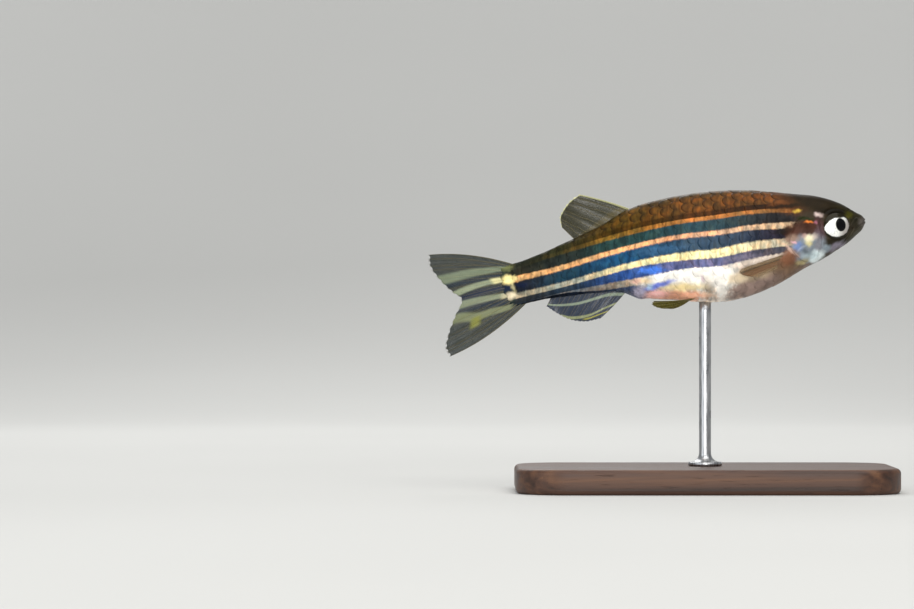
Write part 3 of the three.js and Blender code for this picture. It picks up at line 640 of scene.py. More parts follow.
# %% Wet film
def film_group():
    """Small changes of gloss, and the same noise as a height."""
    tree, given, end = new_group("Wet film", {"Per mm": 3.0, "Gloss": 0.3, "Change": 0.1},
                                 {"Roughness": "NodeSocketFloat", "Height": "NodeSocketFloat"})
    height = noise(tree, math_node(tree, "MULTIPLY", given["Per mm"], PER_METRE), 4.0)
    swing = math_node(tree, "SUBTRACT", height, 0.5)
    rough = math_node(tree, "ADD", given["Gloss"], math_node(tree, "MULTIPLY", swing, given["Change"]))
    tree.links.new(rough, end.inputs["Roughness"])
    tree.links.new(height, end.inputs["Height"])
    return tree


FILM = film_group()
print(FILM.name, "has", len(FILM.nodes), "nodes")

# %% Streaks
def streak_group():
    """Noise drawn out along x, with its own scale along and across."""
    tree, given, end = new_group("Streaks", {"Along": 0.05, "Across": 2.0, "Waver": 0.3},
                                 {"Mask": "NodeSocketFloat"})
    parts = put(tree, "ShaderNodeSeparateXYZ", {0: own_place(tree)}).outputs
    along = math_node(tree, "MULTIPLY", given["Along"], PER_METRE)
    wide = math_node(tree, "MULTIPLY", given["Across"], PER_METRE)
    squeezed = put(tree, "ShaderNodeCombineXYZ", {
        0: math_node(tree, "MULTIPLY", parts[0], along), 1: math_node(tree, "MULTIPLY", parts[1], wide),
        2: math_node(tree, "MULTIPLY", parts[2], wide)}).outputs[0]
    streaks = put(tree, "ShaderNodeTexNoise", {"Vector": squeezed, "Scale": 1.0, "Detail": 5.0,
                                               "Distortion": given["Waver"]})
    tree.links.new(streaks.outputs[0], end.inputs["Mask"])
    return tree


STREAKS = streak_group()
print(STREAKS.name, "has", len(STREAKS.nodes), "nodes")

# %% [markdown]
# ## The danio's markings
# The colours of each stripe change along the fish: grey-navy behind the head, teal in the middle and
# bright blue over the anal fin. So there is one row of colours for each of five stations, as one
# colour ramp over the band, and the ramps blend from station to station. A little noise on the band
# makes the borders ragged, as pigment cells leave them. Most of these codes were fitted: the mean
# colour of a stripe at a station was measured in the photo and in the render, and the paint was
# multiplied by their ratio. So the table leans on measured colours.

# %% Colours at five stations
# Back, low back, dark line, gold 1, blue 1, gold 2, blue 2, gold 3, blue 3, flank below, belly.
STATIONS = {
    "shoulder": (9.0, ["#3e3016", "#683e18", "#2c1808", "#7a522a", "#232020", "#bda080", "#23222f",
                       "#c8b698", "#4c484e", "#7d6856", "#7b6555"]),
    "middle": (17.0, ["#3c3014", "#5f3b15", "#3a220a", "#aa6b34", "#2a434a", "#d79e78", "#233b4e",
                      "#fbe8aa", "#656588", "#fdf6ea", "#ecdfd0"]),
    "vent": (24.5, ["#35301a", "#503a13", "#402c08", "#7d5c20", "#1f3b38", "#dfa36e", "#194769",
                    "#e9d6a2", "#315494", "#a89a88", "#45506a"]),
    "stalk": (30.0, ["#2c2c20", "#2d2d1f", "#2c2a15", "#3b3419", "#1e241f", "#cc9864", "#153344",
                     "#b0ab97", "#2b3b4b", "#767a7e", "#121b2a"]),
    "tail root": (35.0, ["#2c2d1f", "#303228", "#26281e", "#26281d", "#202117", "#daa268", "#181d28",
                         "#99927d", "#262b30", "#262f3a", "#10161c"]),
}
SHINE = [0.05, 0.1, 0.05, 0.3, 0.25, 0.25, 0.3, 0.25, 0.35, 0.45, 0.35]
BORDER_SOFT = 0.09  # half width of a soft border, as a share of a band
BACK_SOFT = 0.35  # the two browns of the back blend more softly


def band_stops(colours):
    """Two stops for each stripe, so that it keeps its colour between soft borders."""
    stops = [(0.0, colours[0])]
    for k, colour in enumerate(colours[1:]):
        low = k + (BACK_SOFT if k == 0 else BORDER_SOFT)
        stops += [(low / BANDS, colour), ((k + 1 - BORDER_SOFT) / BANDS, colour)]
    return stops


print("stations along the fish:", ", ".join(STATIONS))

# %% Parts of the markings
def stripe_colour(tree, share, behind):
    """The stripes' colour: a ramp over the band for each station, blended along the fish."""
    colour, last = None, None
    for at, codes in STATIONS.values():
        here = ramp(tree, share, band_stops([rgb(code) for code in codes]))
        colour = here if colour is None else mix_colour(tree, between(tree, behind, last, at), colour, here)
        last = at
    return colour


def add_painted_glints(tree, colour, broad, strength):
    """Painted glints: rows of plates in the skin catch the light in upright flecks, some warmer and some
    cooler, painted into the colour.
    """
    fleck = place_group(tree, STREAKS, Along=2.6, Across=0.9, Waver=0.7)["Mask"]
    tint = ramp(tree, broad, [(0.36, (0.72, 0.85, 0.95, 1.0)), (0.5, (0.82, 0.82, 0.82, 1.0)),
                              (0.64, (0.95, 0.78, 0.66, 1.0))])
    lit = between(tree, fleck, 0.34, 0.66, 0.75, 1.75)
    flecked = put(tree, "ShaderNodeVectorMath", {0: tint, "Scale": lit}, operation="SCALE").outputs[0]
    return mix_colour(tree, strength, colour, mix_colour(tree, 1.0, colour, flecked, "MULTIPLY"))


def ragged_cover(tree, swing):
    """How far patches hide the stripes. Their soft edges break up into cells, as the stripes' do."""
    cover = stored(tree, "patch_cover")
    partly = math_node(tree, "MULTIPLY", cover, math_node(tree, "SUBTRACT", 1.0, cover))
    ragged = math_node(tree, "MULTIPLY", math_node(tree, "MULTIPLY", partly, swing), 5.0)
    return between(tree, math_node(tree, "ADD", cover, ragged), 0.0, 1.0)


print("stops in each station's ramp:", len(band_stops(SHINE)))

# %% The markings group
def markings_group():
    """The colour and shine of stripes and patches, and a mask of the back."""
    tree, given, end = new_group("Danio markings", {"Ragged": 0.25, "Mottle": 0.25, "Flecks": 0.8},
                                 {"Color": "NodeSocketColor", "Shine": "NodeSocketFloat",
                                  "Back": "NodeSocketFloat"})
    swing = math_node(tree, "SUBTRACT", noise(tree, 3.8 * PER_METRE, 3.0), 0.5)
    broad = noise(tree, 1.1 * PER_METRE, 3.0)
    ragged = math_node(tree, "MULTIPLY", swing, given["Ragged"])
    band = math_node(tree, "ADD", stored(tree, "band"), ragged)
    share = math_node(tree, "DIVIDE", band, float(BANDS))
    colour = stripe_colour(tree, share, stored(tree, "behind"))
    colour = add_painted_glints(tree, colour, broad, given["Flecks"])
    greys = [(value, value, value, 1.0) for value in SHINE]
    shine = put(tree, "ShaderNodeSeparateColor", {0: ramp(tree, share, band_stops(greys))}).outputs[0]
    cover = ragged_cover(tree, swing)
    colour = mix_colour(tree, cover, colour, stored(tree, "patch", "Color"))
    apart = math_node(tree, "SUBTRACT", stored(tree, "patch_shine"), shine)
    shine = math_node(tree, "ADD", shine, math_node(tree, "MULTIPLY", cover, apart))
    mottled = toned(tree, colour, between(tree, broad, 0.25, 0.75, 0.7, 1.25))
    tree.links.new(mix_colour(tree, given["Mottle"], colour, mottled), end.inputs["Color"])
    tree.links.new(shine, end.inputs["Shine"])
    tree.links.new(between(tree, band, 0.8, 1.2, 1.0, 0.0), end.inputs["Back"])
    return tree


MARKINGS = markings_group()
print(MARKINGS.name, "has", len(MARKINGS.nodes), "nodes")

# %% [markdown]
# ## The skin
# One closed skin covers the head and the body, so no seam shows. It lies a coat's depth inside the
# solids where scales will cover it. On the naked head it carries the forms by itself: the bowl of the
# eye socket with its rim, the oblique line of the mouth with both lips, two nostrils a side with the
# flap between them, the stepped edge of the gill cover and the folds of the throat.

# %% Places on the head
COAT = 0.042  # depth that the scales need over the skin
SCALES_FROM = 7.4
EYE = dict(behind=3.08, up=-0.1, radius=1.38, forward=12, rise=5)
MOUTH = dict(tip=(SNOUT_TIP, 0.0), corner=(1.35, -0.85), throat=(3.6, -2.95))
NOSTRILS = [(1.08, 0.155), (1.42, 0.18)]  # distance behind the snout, radius
NOSTRIL_ANGLE = 55  # degrees up the side, where 90 is the middle of the back
GILL_COVER = [(5.3, 0.75), (6.45, 1.0), (7.45, 0.15), (8.1, -1.25), (7.55, -2.5), (6.45, -3.3),
              (5.55, -3.05), (5.1, -1.6)]
PREOPERCLE = [(4.85, 0.4), (4.7, -0.9), (4.85, -2.1), (5.3, -2.9), (6.1, -3.45)]  # ridge on the cheek
THROAT_FOLDS = dict(count=2, up=-3.45, apart=0.27, fall=0.3, behind=5.4)
PECTORAL_ROOT = dict(behind=8.35, up=-2.75, long=0.5, tall=0.55, rise=0.16)
VENT = dict(behind=23.7, long=0.45, wide=0.5, rise=0.1)
print("gill cover points:", len(GILL_COVER))

# %% Distances to drawn lines
def dip(distance, width):
    """1 on a line, about a third of that a width away, and 0 beyond, with round sides."""
    return np.exp(-(distance / width) ** 2)


def closed_curve(points, steps=120):
    """A smooth closed outline through the given points."""
    points = np.array(points + points[:1], float)
    return curve(np.arange(len(points)), points, np.linspace(0, len(points) - 1, steps))


def from_line(behind, up, line):
    """Distance to a line of points."""
    best = np.full(behind.shape, 1e9)
    for (x, y), (dx, dy) in zip(line[:-1], line[1:] - line[:-1]):
        t = np.clip(((behind - x) * dx + (up - y) * dy) / (dx * dx + dy * dy), 0, 1)
        best = np.minimum(best, np.hypot(behind - x - t * dx, up - y - t * dy))
    return best


def inside(behind, up, outline):
    """True where a point lies inside a closed outline."""
    odd = np.zeros(behind.shape, bool)
    for (x0, y0), (x1, y1) in zip(outline[:-1], outline[1:]):
        if y0 == y1:
            continue
        crosses = (y0 > up) != (y1 > up)
        odd ^= crosses & (behind < (x1 - x0) * (up - y0) / (y1 - y0) + x0)
    return odd


print("a line's dip half a width away:", round(float(dip(0.5, 1.0)), 2))

# %% Relief of the head
# How far each form stands out, or lies in where it is below 0, and how wide it is, in millimetres.
RELIEF = {
    "rim of the eye": (0.06, 0.12),
    "fold round the eye": (-0.05, 0.1),
    "mouth": (-0.11, 0.045),
    "lip": (0.05, 0.1),
    "jaw": (-0.07, 0.09),
    "rim of a nostril": (0.03, 0.07),
    "gill slit": (-0.12, 0.07),
    "cheek groove": (-0.06, 0.07),
    "cheek ridge": (0.03, 0.1),
    "throat fold": (-0.04, 0.07),
}
EYE_BOWL = 0.75
NOSTRIL_DEEP = 0.13
COVER_RISE = (0.13, 0.05)  # height of the gill cover near its edge, and what it gains further in


def relief(form, distance):
    """Height of a form at a distance from its line."""
    height, width = RELIEF[form]
    return height * dip(distance, width)


print("forms of the head:", len(RELIEF))

# %% Eye sockets, mouth and nostrils
def eye_forms(behind, up):
    """The bowl that the eye sits in, its rim, and the fold round it."""
    eye = np.hypot(behind - EYE["behind"], up - EYE["up"]) - EYE["radius"]
    rise = -EYE_BOWL * (1 - smooth(-0.3, -0.04, eye))
    return rise + relief("rim of the eye", eye - 0.1) + relief("fold round the eye", eye - 0.36)


def mouth_forms(behind, up):
    """The line of the mouth as far as its corner, with a lip on each side."""
    (tip, tip_up), (corner, corner_up) = MOUTH["tip"], MOUTH["corner"]
    slope = (corner_up - tip_up) / (corner - tip)
    away = (up - tip_up - slope * (behind - tip)) / math.hypot(1, slope)
    along = 1 - smooth(corner + 0.02, corner + 0.2, behind)
    return (relief("mouth", away) + relief("lip", np.abs(away) - 0.14)) * along


def nostril_forms(point):
    """Two pits a side, each with a rim. The rims meet as the flap between them."""
    rise = np.zeros(len(point))
    left = math.radians(NOSTRIL_ANGLE)
    for at, radius in NOSTRILS:
        for angle in (left, math.pi - left):
            centre = section_point(np.array([at]), np.array([angle]))[0]
            away = np.linalg.norm(point - centre, axis=1)
            rise += relief("rim of a nostril", away - radius - 0.03)
            rise -= NOSTRIL_DEEP * (1 - smooth(radius * 0.4, radius, away))
    return rise


print("the mouth's corner lies", MOUTH["corner"][0], "mm behind the snout")

# %% Gill covers, cheeks and throat
def gill_forms(behind, up):
    """The gill cover stands up from its hinge in front and ends in a step behind."""
    outline = closed_curve(GILL_COVER)
    edge = from_line(behind, up, outline)
    depth = np.where(inside(behind, up, outline), edge, -edge)
    back_part = np.clip(smooth(5.2, 6.5, behind) + smooth(-1.6, -2.8, up) * (behind > 4.9), 0, 1)
    cover = (COVER_RISE[0] + COVER_RISE[1] * smooth(0.0, 1.2, depth)) * smooth(-0.05, 0.06, depth)
    return (cover + relief("gill slit", depth + 0.1)) * back_part


def cheek_forms(behind, up):
    """The groove in front of the gill cover, with a ridge along it."""
    away = from_line(behind, up, np.array(PREOPERCLE))
    return relief("cheek groove", away) + relief("cheek ridge", away - 0.14)


def throat_forms(behind, up):
    """Folds of skin under the gill cover."""
    rise = np.zeros_like(behind)
    within = smooth(3.9, 4.6, behind) * (1 - smooth(6.6, 7.2, behind))
    for k in range(THROAT_FOLDS["count"]):
        line = THROAT_FOLDS["up"] - THROAT_FOLDS["apart"] * k
        fold = up - (line - THROAT_FOLDS["fall"] * (behind - THROAT_FOLDS["behind"]))
        rise += relief("throat fold", fold) * within
    return rise


print("folds of the throat:", THROAT_FOLDS["count"])

# %% All forms of the head
def head_forms(behind, up, point):
    """How far the skin of the head stands out of the plain body, in millimetres."""
    beside = smooth(0.25, 0.6, np.abs(point[:, 1]) / np.maximum(sizes(behind)[2], 0.01))
    jaw = relief("jaw", from_line(behind, up, np.array([MOUTH["corner"], MOUTH["throat"]])))
    on_flank = eye_forms(behind, up) + jaw + gill_forms(behind, up) + cheek_forms(behind, up)
    return on_flank * beside + mouth_forms(behind, up) + nostril_forms(point) + throat_forms(behind, up)


at_eye = [np.array([EYE[way]]) for way in ("behind", "up")]
eye_point = np.stack([-at_eye[0], side_at(*at_eye), at_eye[1]], -1)
print("the skin lies", -head_forms(*at_eye, eye_point).round(2)[0], "mm deep under the eye")

# %% Rows of the skin
SKIN_SIDES = 216
SNOUT_ROWS = 24
HEAD_STEP = 0.045
BODY_FROM = 8.45
BODY_ROWS = 190


def skin_rows():
    """Distances behind the snout: close together on the head, wider on the body."""
    snout = SNOUT_TIP + SNOUT_ROUND * (1 - np.cos(np.linspace(0.06, np.pi / 2, SNOUT_ROWS)))
    head = np.arange(snout[-1] + 0.04, BODY_FROM - 0.05, HEAD_STEP)
    body = np.linspace(BODY_FROM, SKIN_END, BODY_ROWS)
    return np.concatenate([snout, head, body])


def carry_markings(behind, up):
    """What the markings read: the band, the distance behind the snout and the patches."""
    colour, cover, shine = patch_at(behind, up)
    return dict(band=band_at(behind, up), behind=behind, patch=colour, patch_cover=cover, patch_shine=shine)


def skin_map(rows):
    """The skin unrolled: one way is the row, so the head gets most of the map, the other goes round."""
    row, side = np.divmod(np.arange((rows - 1) * SKIN_SIDES), SKIN_SIDES)
    quads = [(row, side), (row, side + 1), (row + 1, side + 1), (row + 1, side)]
    k = np.arange(SKIN_SIDES)
    snout = [(k * 0 - 1, k + 0.5), (k * 0, k + 1), (k * 0, k)]
    tail = [(k * 0 + rows, k + 0.5), (k * 0 + rows - 1, k), (k * 0 + rows - 1, k + 1)]
    parts = [np.array(part).transpose(2, 0, 1).reshape(-1, 2) for part in (quads, snout, tail)]
    return 0.02 + 0.96 * (np.concatenate(parts) + [1, 0]) / [rows + 1, SKIN_SIDES]


print("skin rows:", len(skin_rows()), "with", SKIN_SIDES, "points round")

# %% Points of the skin
END_WIDE = 0.25  # share of its width that the skin keeps at its very end


def skin_points(rows):
    """The rows of the body, pushed in and out by the forms on them."""
    share = (np.arange(SKIN_SIDES) + 0.5) / SKIN_SIDES
    behind, round_it = (a.ravel() for a in np.meshgrid(rows, share, indexing="ij"))
    point, normal = on_body(behind, round_it), body_normal(behind, round_it)
    up = point[:, 2]
    rise = head_forms(behind, up, point)
    rise -= COAT * smooth(SCALES_FROM - 0.6, SCALES_FROM + 0.8, behind) + 0.01
    # The fleshy root of each pectoral fin, and the small swelling at the vent.
    root, vent = PECTORAL_ROOT, VENT
    from_root = ((behind - root["behind"]) / root["long"]) ** 2 + ((up - root["up"]) / root["tall"]) ** 2
    rise += root["rise"] * np.exp(-from_root)
    keel = dip(point[:, 1], vent["wide"]) * (up < 0)
    rise += vent["rise"] * dip(behind - vent["behind"], vent["long"]) * keel
    point = point + normal * rise[:, None]
    point[:, 1] *= 1 - (1 - END_WIDE) * smooth(SKIN_END - 0.15, SKIN_END, behind)
    return point


print("the swelling at the vent stands out by", VENT["rise"], "mm")

# %% Build the skin
def build_skin():
    """One closed mesh from the snout to the root of the tail fin."""
    rows = skin_rows()
    point = skin_points(rows)
    last = (len(rows) - 1) * SKIN_SIDES
    snout, end = point[:SKIN_SIDES].mean(0), point[last:].mean(0)
    tip, tail = len(point), len(point) + 1
    point = np.concatenate([point, [snout + [0.02, 0, 0], end]])
    faces = grid_faces(len(rows), SKIN_SIDES, closed=True).tolist()
    faces += [[tip, (k + 1) % SKIN_SIDES, k] for k in range(SKIN_SIDES)]
    faces += [[tail, last + k, last + (k + 1) % SKIN_SIDES] for k in range(SKIN_SIDES)]
    marks = carry_markings(-point[:, 0], point[:, 2])
    return make_piece("skin", point, faces, marks, skin_map(len(rows)))


skin = build_skin()
print("points of the skin:", len(skin.data.vertices))

# %% [markdown]
# ## Wet skin
# A living fish is wet all over, so its skin has two glosses: the soft metal glint of the pigment
# plates inside it, and a sharp clear one from the water and slime on top. The Principled shader has a
# coat for the second. The glint follows the shine that the markings give out.

# %% Two glosses
def wet_look(tree, shader, marks, film, colour, bump):
    """Links the glint of the plates and the clear coat over it, both stronger where the fish shines."""
    metal = math_node(tree, "MULTIPLY", marks["Shine"], 0.6)
    wet = between(tree, film["Height"], 0.2, 0.8, 0.5, 1.2)
    coat = math_node(tree, "MULTIPLY", wet, between(tree, marks["Shine"], 0.04, 0.4, 0.02, 0.18))
    drive(tree, shader, Base_Color=colour, Roughness=film["Roughness"], Metallic=metal,
          Coat_Weight=coat, Normal=bump.outputs[0])


print("shine of the stripes: from", min(SHINE), "to", max(SHINE))

# %% The skin's material
def skin_material():
    """Markings with fine dark specks, over a very fine relief."""
    material, tree, shader = new_material("danio_skin", Coat_Roughness=0.12, Coat_IOR=1.34,
                                          Specular_IOR_Level=0.07)
    marks = place_group(tree, MARKINGS, Mottle=0.8)
    film = place_group(tree, FILM, Per_mm=2.2, Gloss=0.4, Change=0.25)
    specks = place_group(tree, SPECKS, Per_mm=11.0, Amount=0.3, Size=0.3)
    dark = math_node(tree, "MULTIPLY", specks["Mask"], 0.25)
    colour = mix_colour(tree, dark, marks["Color"], rgb("#2a2016"))
    fine = noise(tree, 9 * PER_METRE, 2.0)
    bump = put(tree, "ShaderNodeBump", {"Height": fine, "Strength": 0.5, "Distance": 0.00003})
    wet_look(tree, shader, marks, film, colour, bump)
    return material


SKIN = skin_material()
finish_piece(skin, SKIN, "head_skin", "head", "lower_jaw", "gill_cover_left", "gill_cover_right",
             "trunk", "tail_stalk")

# %% [markdown]
# ## Scales
# A danio has about 28 scales in a row along its side. Each is a thin round plate, rooted under the one
# before and free behind, so they overlap like roof tiles. Rows run alongside the middle of the flank
# and end where the body tapers. Geometry Nodes could scatter them, but here each scale's own bent grid
# keeps to the curve of the flank, so none stands off at its corners.

# %% Where the scales sit
SCALE_FROM = 8.0
SCALE_TO = 35.6
SCALE_COLUMNS = 29
ROW_AT = [8.0, 12.0, 18.0, 25.0, 31.0, 36.0]
ROW_APART = [1.0, 1.15, 1.12, 0.92, 0.82, 0.80]
MIDLINE_FREE = 0.3  # share of a row left free at the lines of the back and the belly


def half_girth(behind):
    """Length up the right side from the middle of the belly, and the heights that go with it."""
    ring = on_body(np.full(181, behind), np.linspace(0, 0.5, 181))
    length = np.r_[0, np.cumsum(np.linalg.norm(np.diff(ring, axis=0), axis=1))]
    return length, ring[:, 2]


def scale_places():
    """Place behind the snout and share of the girth of each scale on the right side."""
    places = []
    for column in range(SCALE_COLUMNS):
        behind = SCALE_FROM + (SCALE_TO - SCALE_FROM) * column / (SCALE_COLUMNS - 1)
        length, up = half_girth(behind)
        middle = np.interp(0, up, length)
        apart = float(curve(ROW_AT, ROW_APART, np.array(behind)))
        stagger = 0.5 * (column % 2)
        for row in range(-12, 13):
            at = middle + (row + stagger) * apart
            if MIDLINE_FREE * apart < at < length[-1] - MIDLINE_FREE * apart:
                places.append((behind, at / length[-1] / 2, apart / length[-1] / 2, apart))
    return np.array(places)


RIGHT_SCALES = scale_places()
print("scales on one side:", len(RIGHT_SCALES))

# %% One scale
SCALE_STEPS = 12  # faces along and across one scale
SCALE_THICK = 0.014
SCALE_LONG = 1.9  # whole length, of which about half is free
SCALE_WIDE = 0.66  # half width, as a share of the distance between rows
MAP_EDGE = 0.03  # margin of the map that colours are baked to
MAP_PATCH = 0.012  # half a scale's own place on it


def round_grid(steps):
    """A square grid pushed into a circle: places along and across it, and from its middle."""
    side = np.linspace(-1, 1, steps + 1)
    u, v = (a.ravel() for a in np.meshgrid(side, side, indexing="ij"))
    along, across = u * np.sqrt(1 - v * v / 2), v * np.sqrt(1 - u * u / 2)
    return along, across, np.hypot(along, across)


def one_scale(place, grid, rng):
    """Outer and inner points of one scale, its tone, and the points' places on the map."""
    behind, share, apart, wide = place
    along, across, rim = grid
    size = rng.uniform(0.96, 1.04)
    long_half = SCALE_LONG / 2 * size * (0.75 + 0.25 * wide)
    s = behind + 0.1 + along * long_half * (1 + 0.04 * rng.normal())
    g = share + across * apart * SCALE_WIDE * size
    body = on_body(s, np.mod(g, 1.0))
    normal = body_normal(s, np.clip(np.mod(g, 1.0), 0.003, 0.997))
    # The root lies deep and the free edge high, so each scale covers the next one's root.
    tilt = 0.003 * rng.normal()
    top = -COAT + COAT * (0.06 + 0.9 * ((along + 1) / 2) ** 1.15) - 0.008 * np.clip(rim, 0, 1) ** 6
    top = np.minimum(top - 0.008 * across**2 + tilt * across, -0.002)
    thick = SCALE_THICK * (1 - 0.5 * np.clip(rim, 0, 1) ** 4)
    points = [body + normal * top[:, None], body + normal * (top - thick)[:, None]]
    middle = MAP_EDGE + (1 - 2 * MAP_EDGE) * np.array([behind / SKIN_END, share])
    on_map = [middle + np.stack([along, across], -1) * MAP_PATCH * k for k in (1.0, 0.86)]
    return points, rng.normal(), on_map


print("points of one scale:", 2 * len(round_grid(SCALE_STEPS)[0]))

# %% Build the scales
def build_scales(name, places, seed):
    """One joined mesh of thin round plates that follow the body under them."""
    rng = np.random.default_rng(seed)
    grid = round_grid(SCALE_STEPS)
    count = 2 * len(grid[0])
    points, tones, uv = [], [], []
    for place in places:
        both, tone, on_map = one_scale(place, grid, rng)
        points += both
        tones.append(np.full(count, tone))
        uv += on_map
    points, tones, uv = (np.concatenate(part) for part in (points, tones, uv))
    one = sheet_faces(SCALE_STEPS + 1, SCALE_STEPS + 1)
    faces = (one[None] + (np.arange(len(places)) * count)[:, None, None]).reshape(-1, 4)
    marks = carry_markings(-points[:, 0], points[:, 2])
    along, rim = (np.tile(grid[k], 2 * len(places)) for k in (0, 2))
    marks.update(scale_along=along, scale_rim=rim, scale_tone=tones)
    return make_piece(name, points, faces, marks, uv)


left_places = RIGHT_SCALES * [1, -1, 1, 1] + [0, 1, 0, 0]
scales_right = build_scales("scales_right", RIGHT_SCALES, 3)
scales_left = build_scales("scales_left", left_places, 4)
print("scales on both sides:", 2 * len(RIGHT_SCALES), "of", 2 * SCALE_STEPS**2, "faces and a rim each")

# %% The scales' material
def scale_material():
    """The skin's markings again, with dark free edges, growth rings and a tone for each scale."""
    material, tree, shader = new_material("danio_scales", Coat_Roughness=0.1, Coat_IOR=1.34,
                                          Specular_IOR_Level=0.07)
    marks = place_group(tree, MARKINGS, Mottle=0.9)
    film = place_group(tree, FILM, Per_mm=2.8, Gloss=0.36, Change=0.3)
    specks = place_group(tree, SPECKS, Per_mm=11.0, Amount=0.3, Size=0.3)
    rim, along = stored(tree, "scale_rim"), stored(tree, "scale_along")
    # Dark pigment gathers along the free edge of each scale, most of all on the back.
    edge = math_node(tree, "MULTIPLY", between(tree, rim, 0.5, 0.97), between(tree, along, -0.2, 0.5))
    strength = between(tree, marks["Back"], 0.0, 1.0, 0.06, 0.6)
    colour = mix_colour(tree, math_node(tree, "MULTIPLY", edge, strength), marks["Color"], rgb("#20180e"))
    dark = math_node(tree, "MULTIPLY", specks["Mask"], between(tree, marks["Back"], 0.0, 1.0, 0.08, 0.35))
    colour = mix_colour(tree, dark, colour, rgb("#1c1610"))
    colour = toned(tree, colour, between(tree, stored(tree, "scale_tone"), -2.0, 2.0, 0.88, 1.12))
    # Growth rings are fine ridges round the middle of the scale.
    rings = math_node(tree, "SINE", math_node(tree, "MULTIPLY", rim, 75.0))
    bump = put(tree, "ShaderNodeBump", {"Height": rings, "Strength": 0.15, "Distance": 0.000006})
    wet_look(tree, shader, marks, film, colour, bump)
    return material


SCALES = scale_material()
finish_piece(scales_right, SCALES, "flank_scales")
finish_piece(scales_left, SCALES, "flank_scales")

# %% [markdown]
# ## Eyes
# A fish has no lids, so the whole iris shows. It is silver with a dark upper part, where pigment
# covers it and painted shade falls under the rim of the socket, and painted shade greys the silver
# ahead of the pupil. The eye is one glossy dome here, a little proud of the head, because the clear
# cornea lies so close to the iris that its own shell would only add noise. The pupil is set forward, as
# danios look ahead. The distances from it and from the silver's edges are stored on the dome's points.

# %% Shape of the eye
EYE_SKIN = 1.35  # radius where the dome meets the skin
EYE_OVAL = (1.035, 0.965)  # a little longer than it is tall
EYE_PROUD = 0.38
EYE_SIDES = 120
SILVER = (1.32, 1.1)  # half sizes of the silver part of the iris, as an oval
PUPIL = dict(forward=0.33, up=0.02, wide=0.56, tall=0.68)
# The dark upper part of the iris, dark pigment with painted shade under the socket's rim, ends on this line,
# given by places forward and up.
BROW = [(-1.4, -0.2), (-1.1, 0.25), (-0.9, 0.42), (-0.5, 0.62), (-0.08, 0.75), (0.33, 0.68), (0.74, 0.74),
        (0.95, 0.72), (1.16, 0.6), (1.4, 0.36)]


def eye_profile():
    """Radius and height over the skin, from the middle of the dome round to its back."""
    ball = (EYE_SKIN**2 + EYE_PROUD**2) / (2 * EYE_PROUD)
    radius = np.linspace(0, EYE_SKIN, 46)
    height = EYE_PROUD - ball + np.sqrt(ball**2 - radius**2) - 0.02
    height += 0.03 * (1 - smooth(0.45, 0.8, radius))  # the lens pushes out through the pupil
    turn = np.linspace(0.25, np.pi / 2, 8)
    back_radius = EYE_SKIN * np.cos(turn) ** 0.5 + 0.02 * np.sin(2 * turn)
    back_height = -0.02 - 0.62 * np.sin(turn)
    return np.r_[radius, back_radius[:-1], 0.001], np.r_[height, back_height[:-1], back_height[-1]]


print("the pupil is", round(2 * PUPIL["wide"], 2), "by", round(2 * PUPIL["tall"], 2), "mm")

# %% Points of the eye
def eye_dome():
    """Points forward, out and up of the middle of a dome, and its faces."""
    radius, height = eye_profile()
    turn = np.arange(EYE_SIDES) / EYE_SIDES * 2 * np.pi
    r, t = (a.ravel() for a in np.meshgrid(radius[1:], turn, indexing="ij"))
    h = np.repeat(height[1:], EYE_SIDES)
    dome = np.stack([EYE_OVAL[0] * r * np.cos(t), h, EYE_OVAL[1] * r * np.sin(t)], -1)
    dome = np.concatenate([dome, [[0, height[0], 0]]])
    faces = grid_faces(len(radius) - 1, EYE_SIDES, closed=True).tolist()
    faces += [[len(dome) - 1, (k + 1) % EYE_SIDES, k] for k in range(EYE_SIDES)]
    last = (len(radius) - 2) * EYE_SIDES
    faces.append([last + k for k in range(EYE_SIDES)])
    return dome, faces


def eye_values(dome):
    """Distances from the pupil's middle and the silver's edges, and where painted shade greys the silver."""
    ahead, above = dome[:, 0], dome[:, 2]
    pupil = np.hypot((ahead - PUPIL["forward"]) / PUPIL["wide"], (above - PUPIL["up"]) / PUPIL["tall"])
    silver = np.hypot((ahead + 0.04) / SILVER[0], above / SILVER[1])
    brow = above - curve(*np.array(BROW).T, ahead)
    # Painted shade: the silver ahead of the pupil is turned from the light, so it is painted greyer.
    dull = smooth(0.25, 1.0, 0.85 * ahead - 0.5 * above)  # the silver is greyer ahead of the pupil
    return dict(pupil=pupil, silver=silver, brow=brow, dull=dull)


print("values on the dome:", ", ".join(eye_values(eye_dome()[0])))

# %% Set the eyes in the head
def build_eye(name, side):
    """A dome turned a little forward and up, on one side of the head."""
    dome, faces = eye_dome()
    forward, rise = math.radians(EYE["forward"]), math.radians(EYE["rise"])
    x = dome[:, 0] * math.cos(forward) + dome[:, 1] * math.sin(forward)
    out = dome[:, 1] * math.cos(forward) - dome[:, 0] * math.sin(forward)
    z = dome[:, 2] * math.cos(rise) + out * math.sin(rise)
    out = out * math.cos(rise) - dome[:, 2] * math.sin(rise)
    base = side_at(EYE["behind"], EYE["up"])
    points = np.stack([x - EYE["behind"], side * (out + base), z + EYE["up"]], -1)
    if side > 0:
        faces = [face[::-1] for face in faces]
    return make_piece(name, points, faces, eye_values(dome))


eyes = {hand: build_eye("eye_" + hand + "_dome", side) for side, hand in HANDS}
print("points of one eye:", len(eyes["left"].data.vertices))

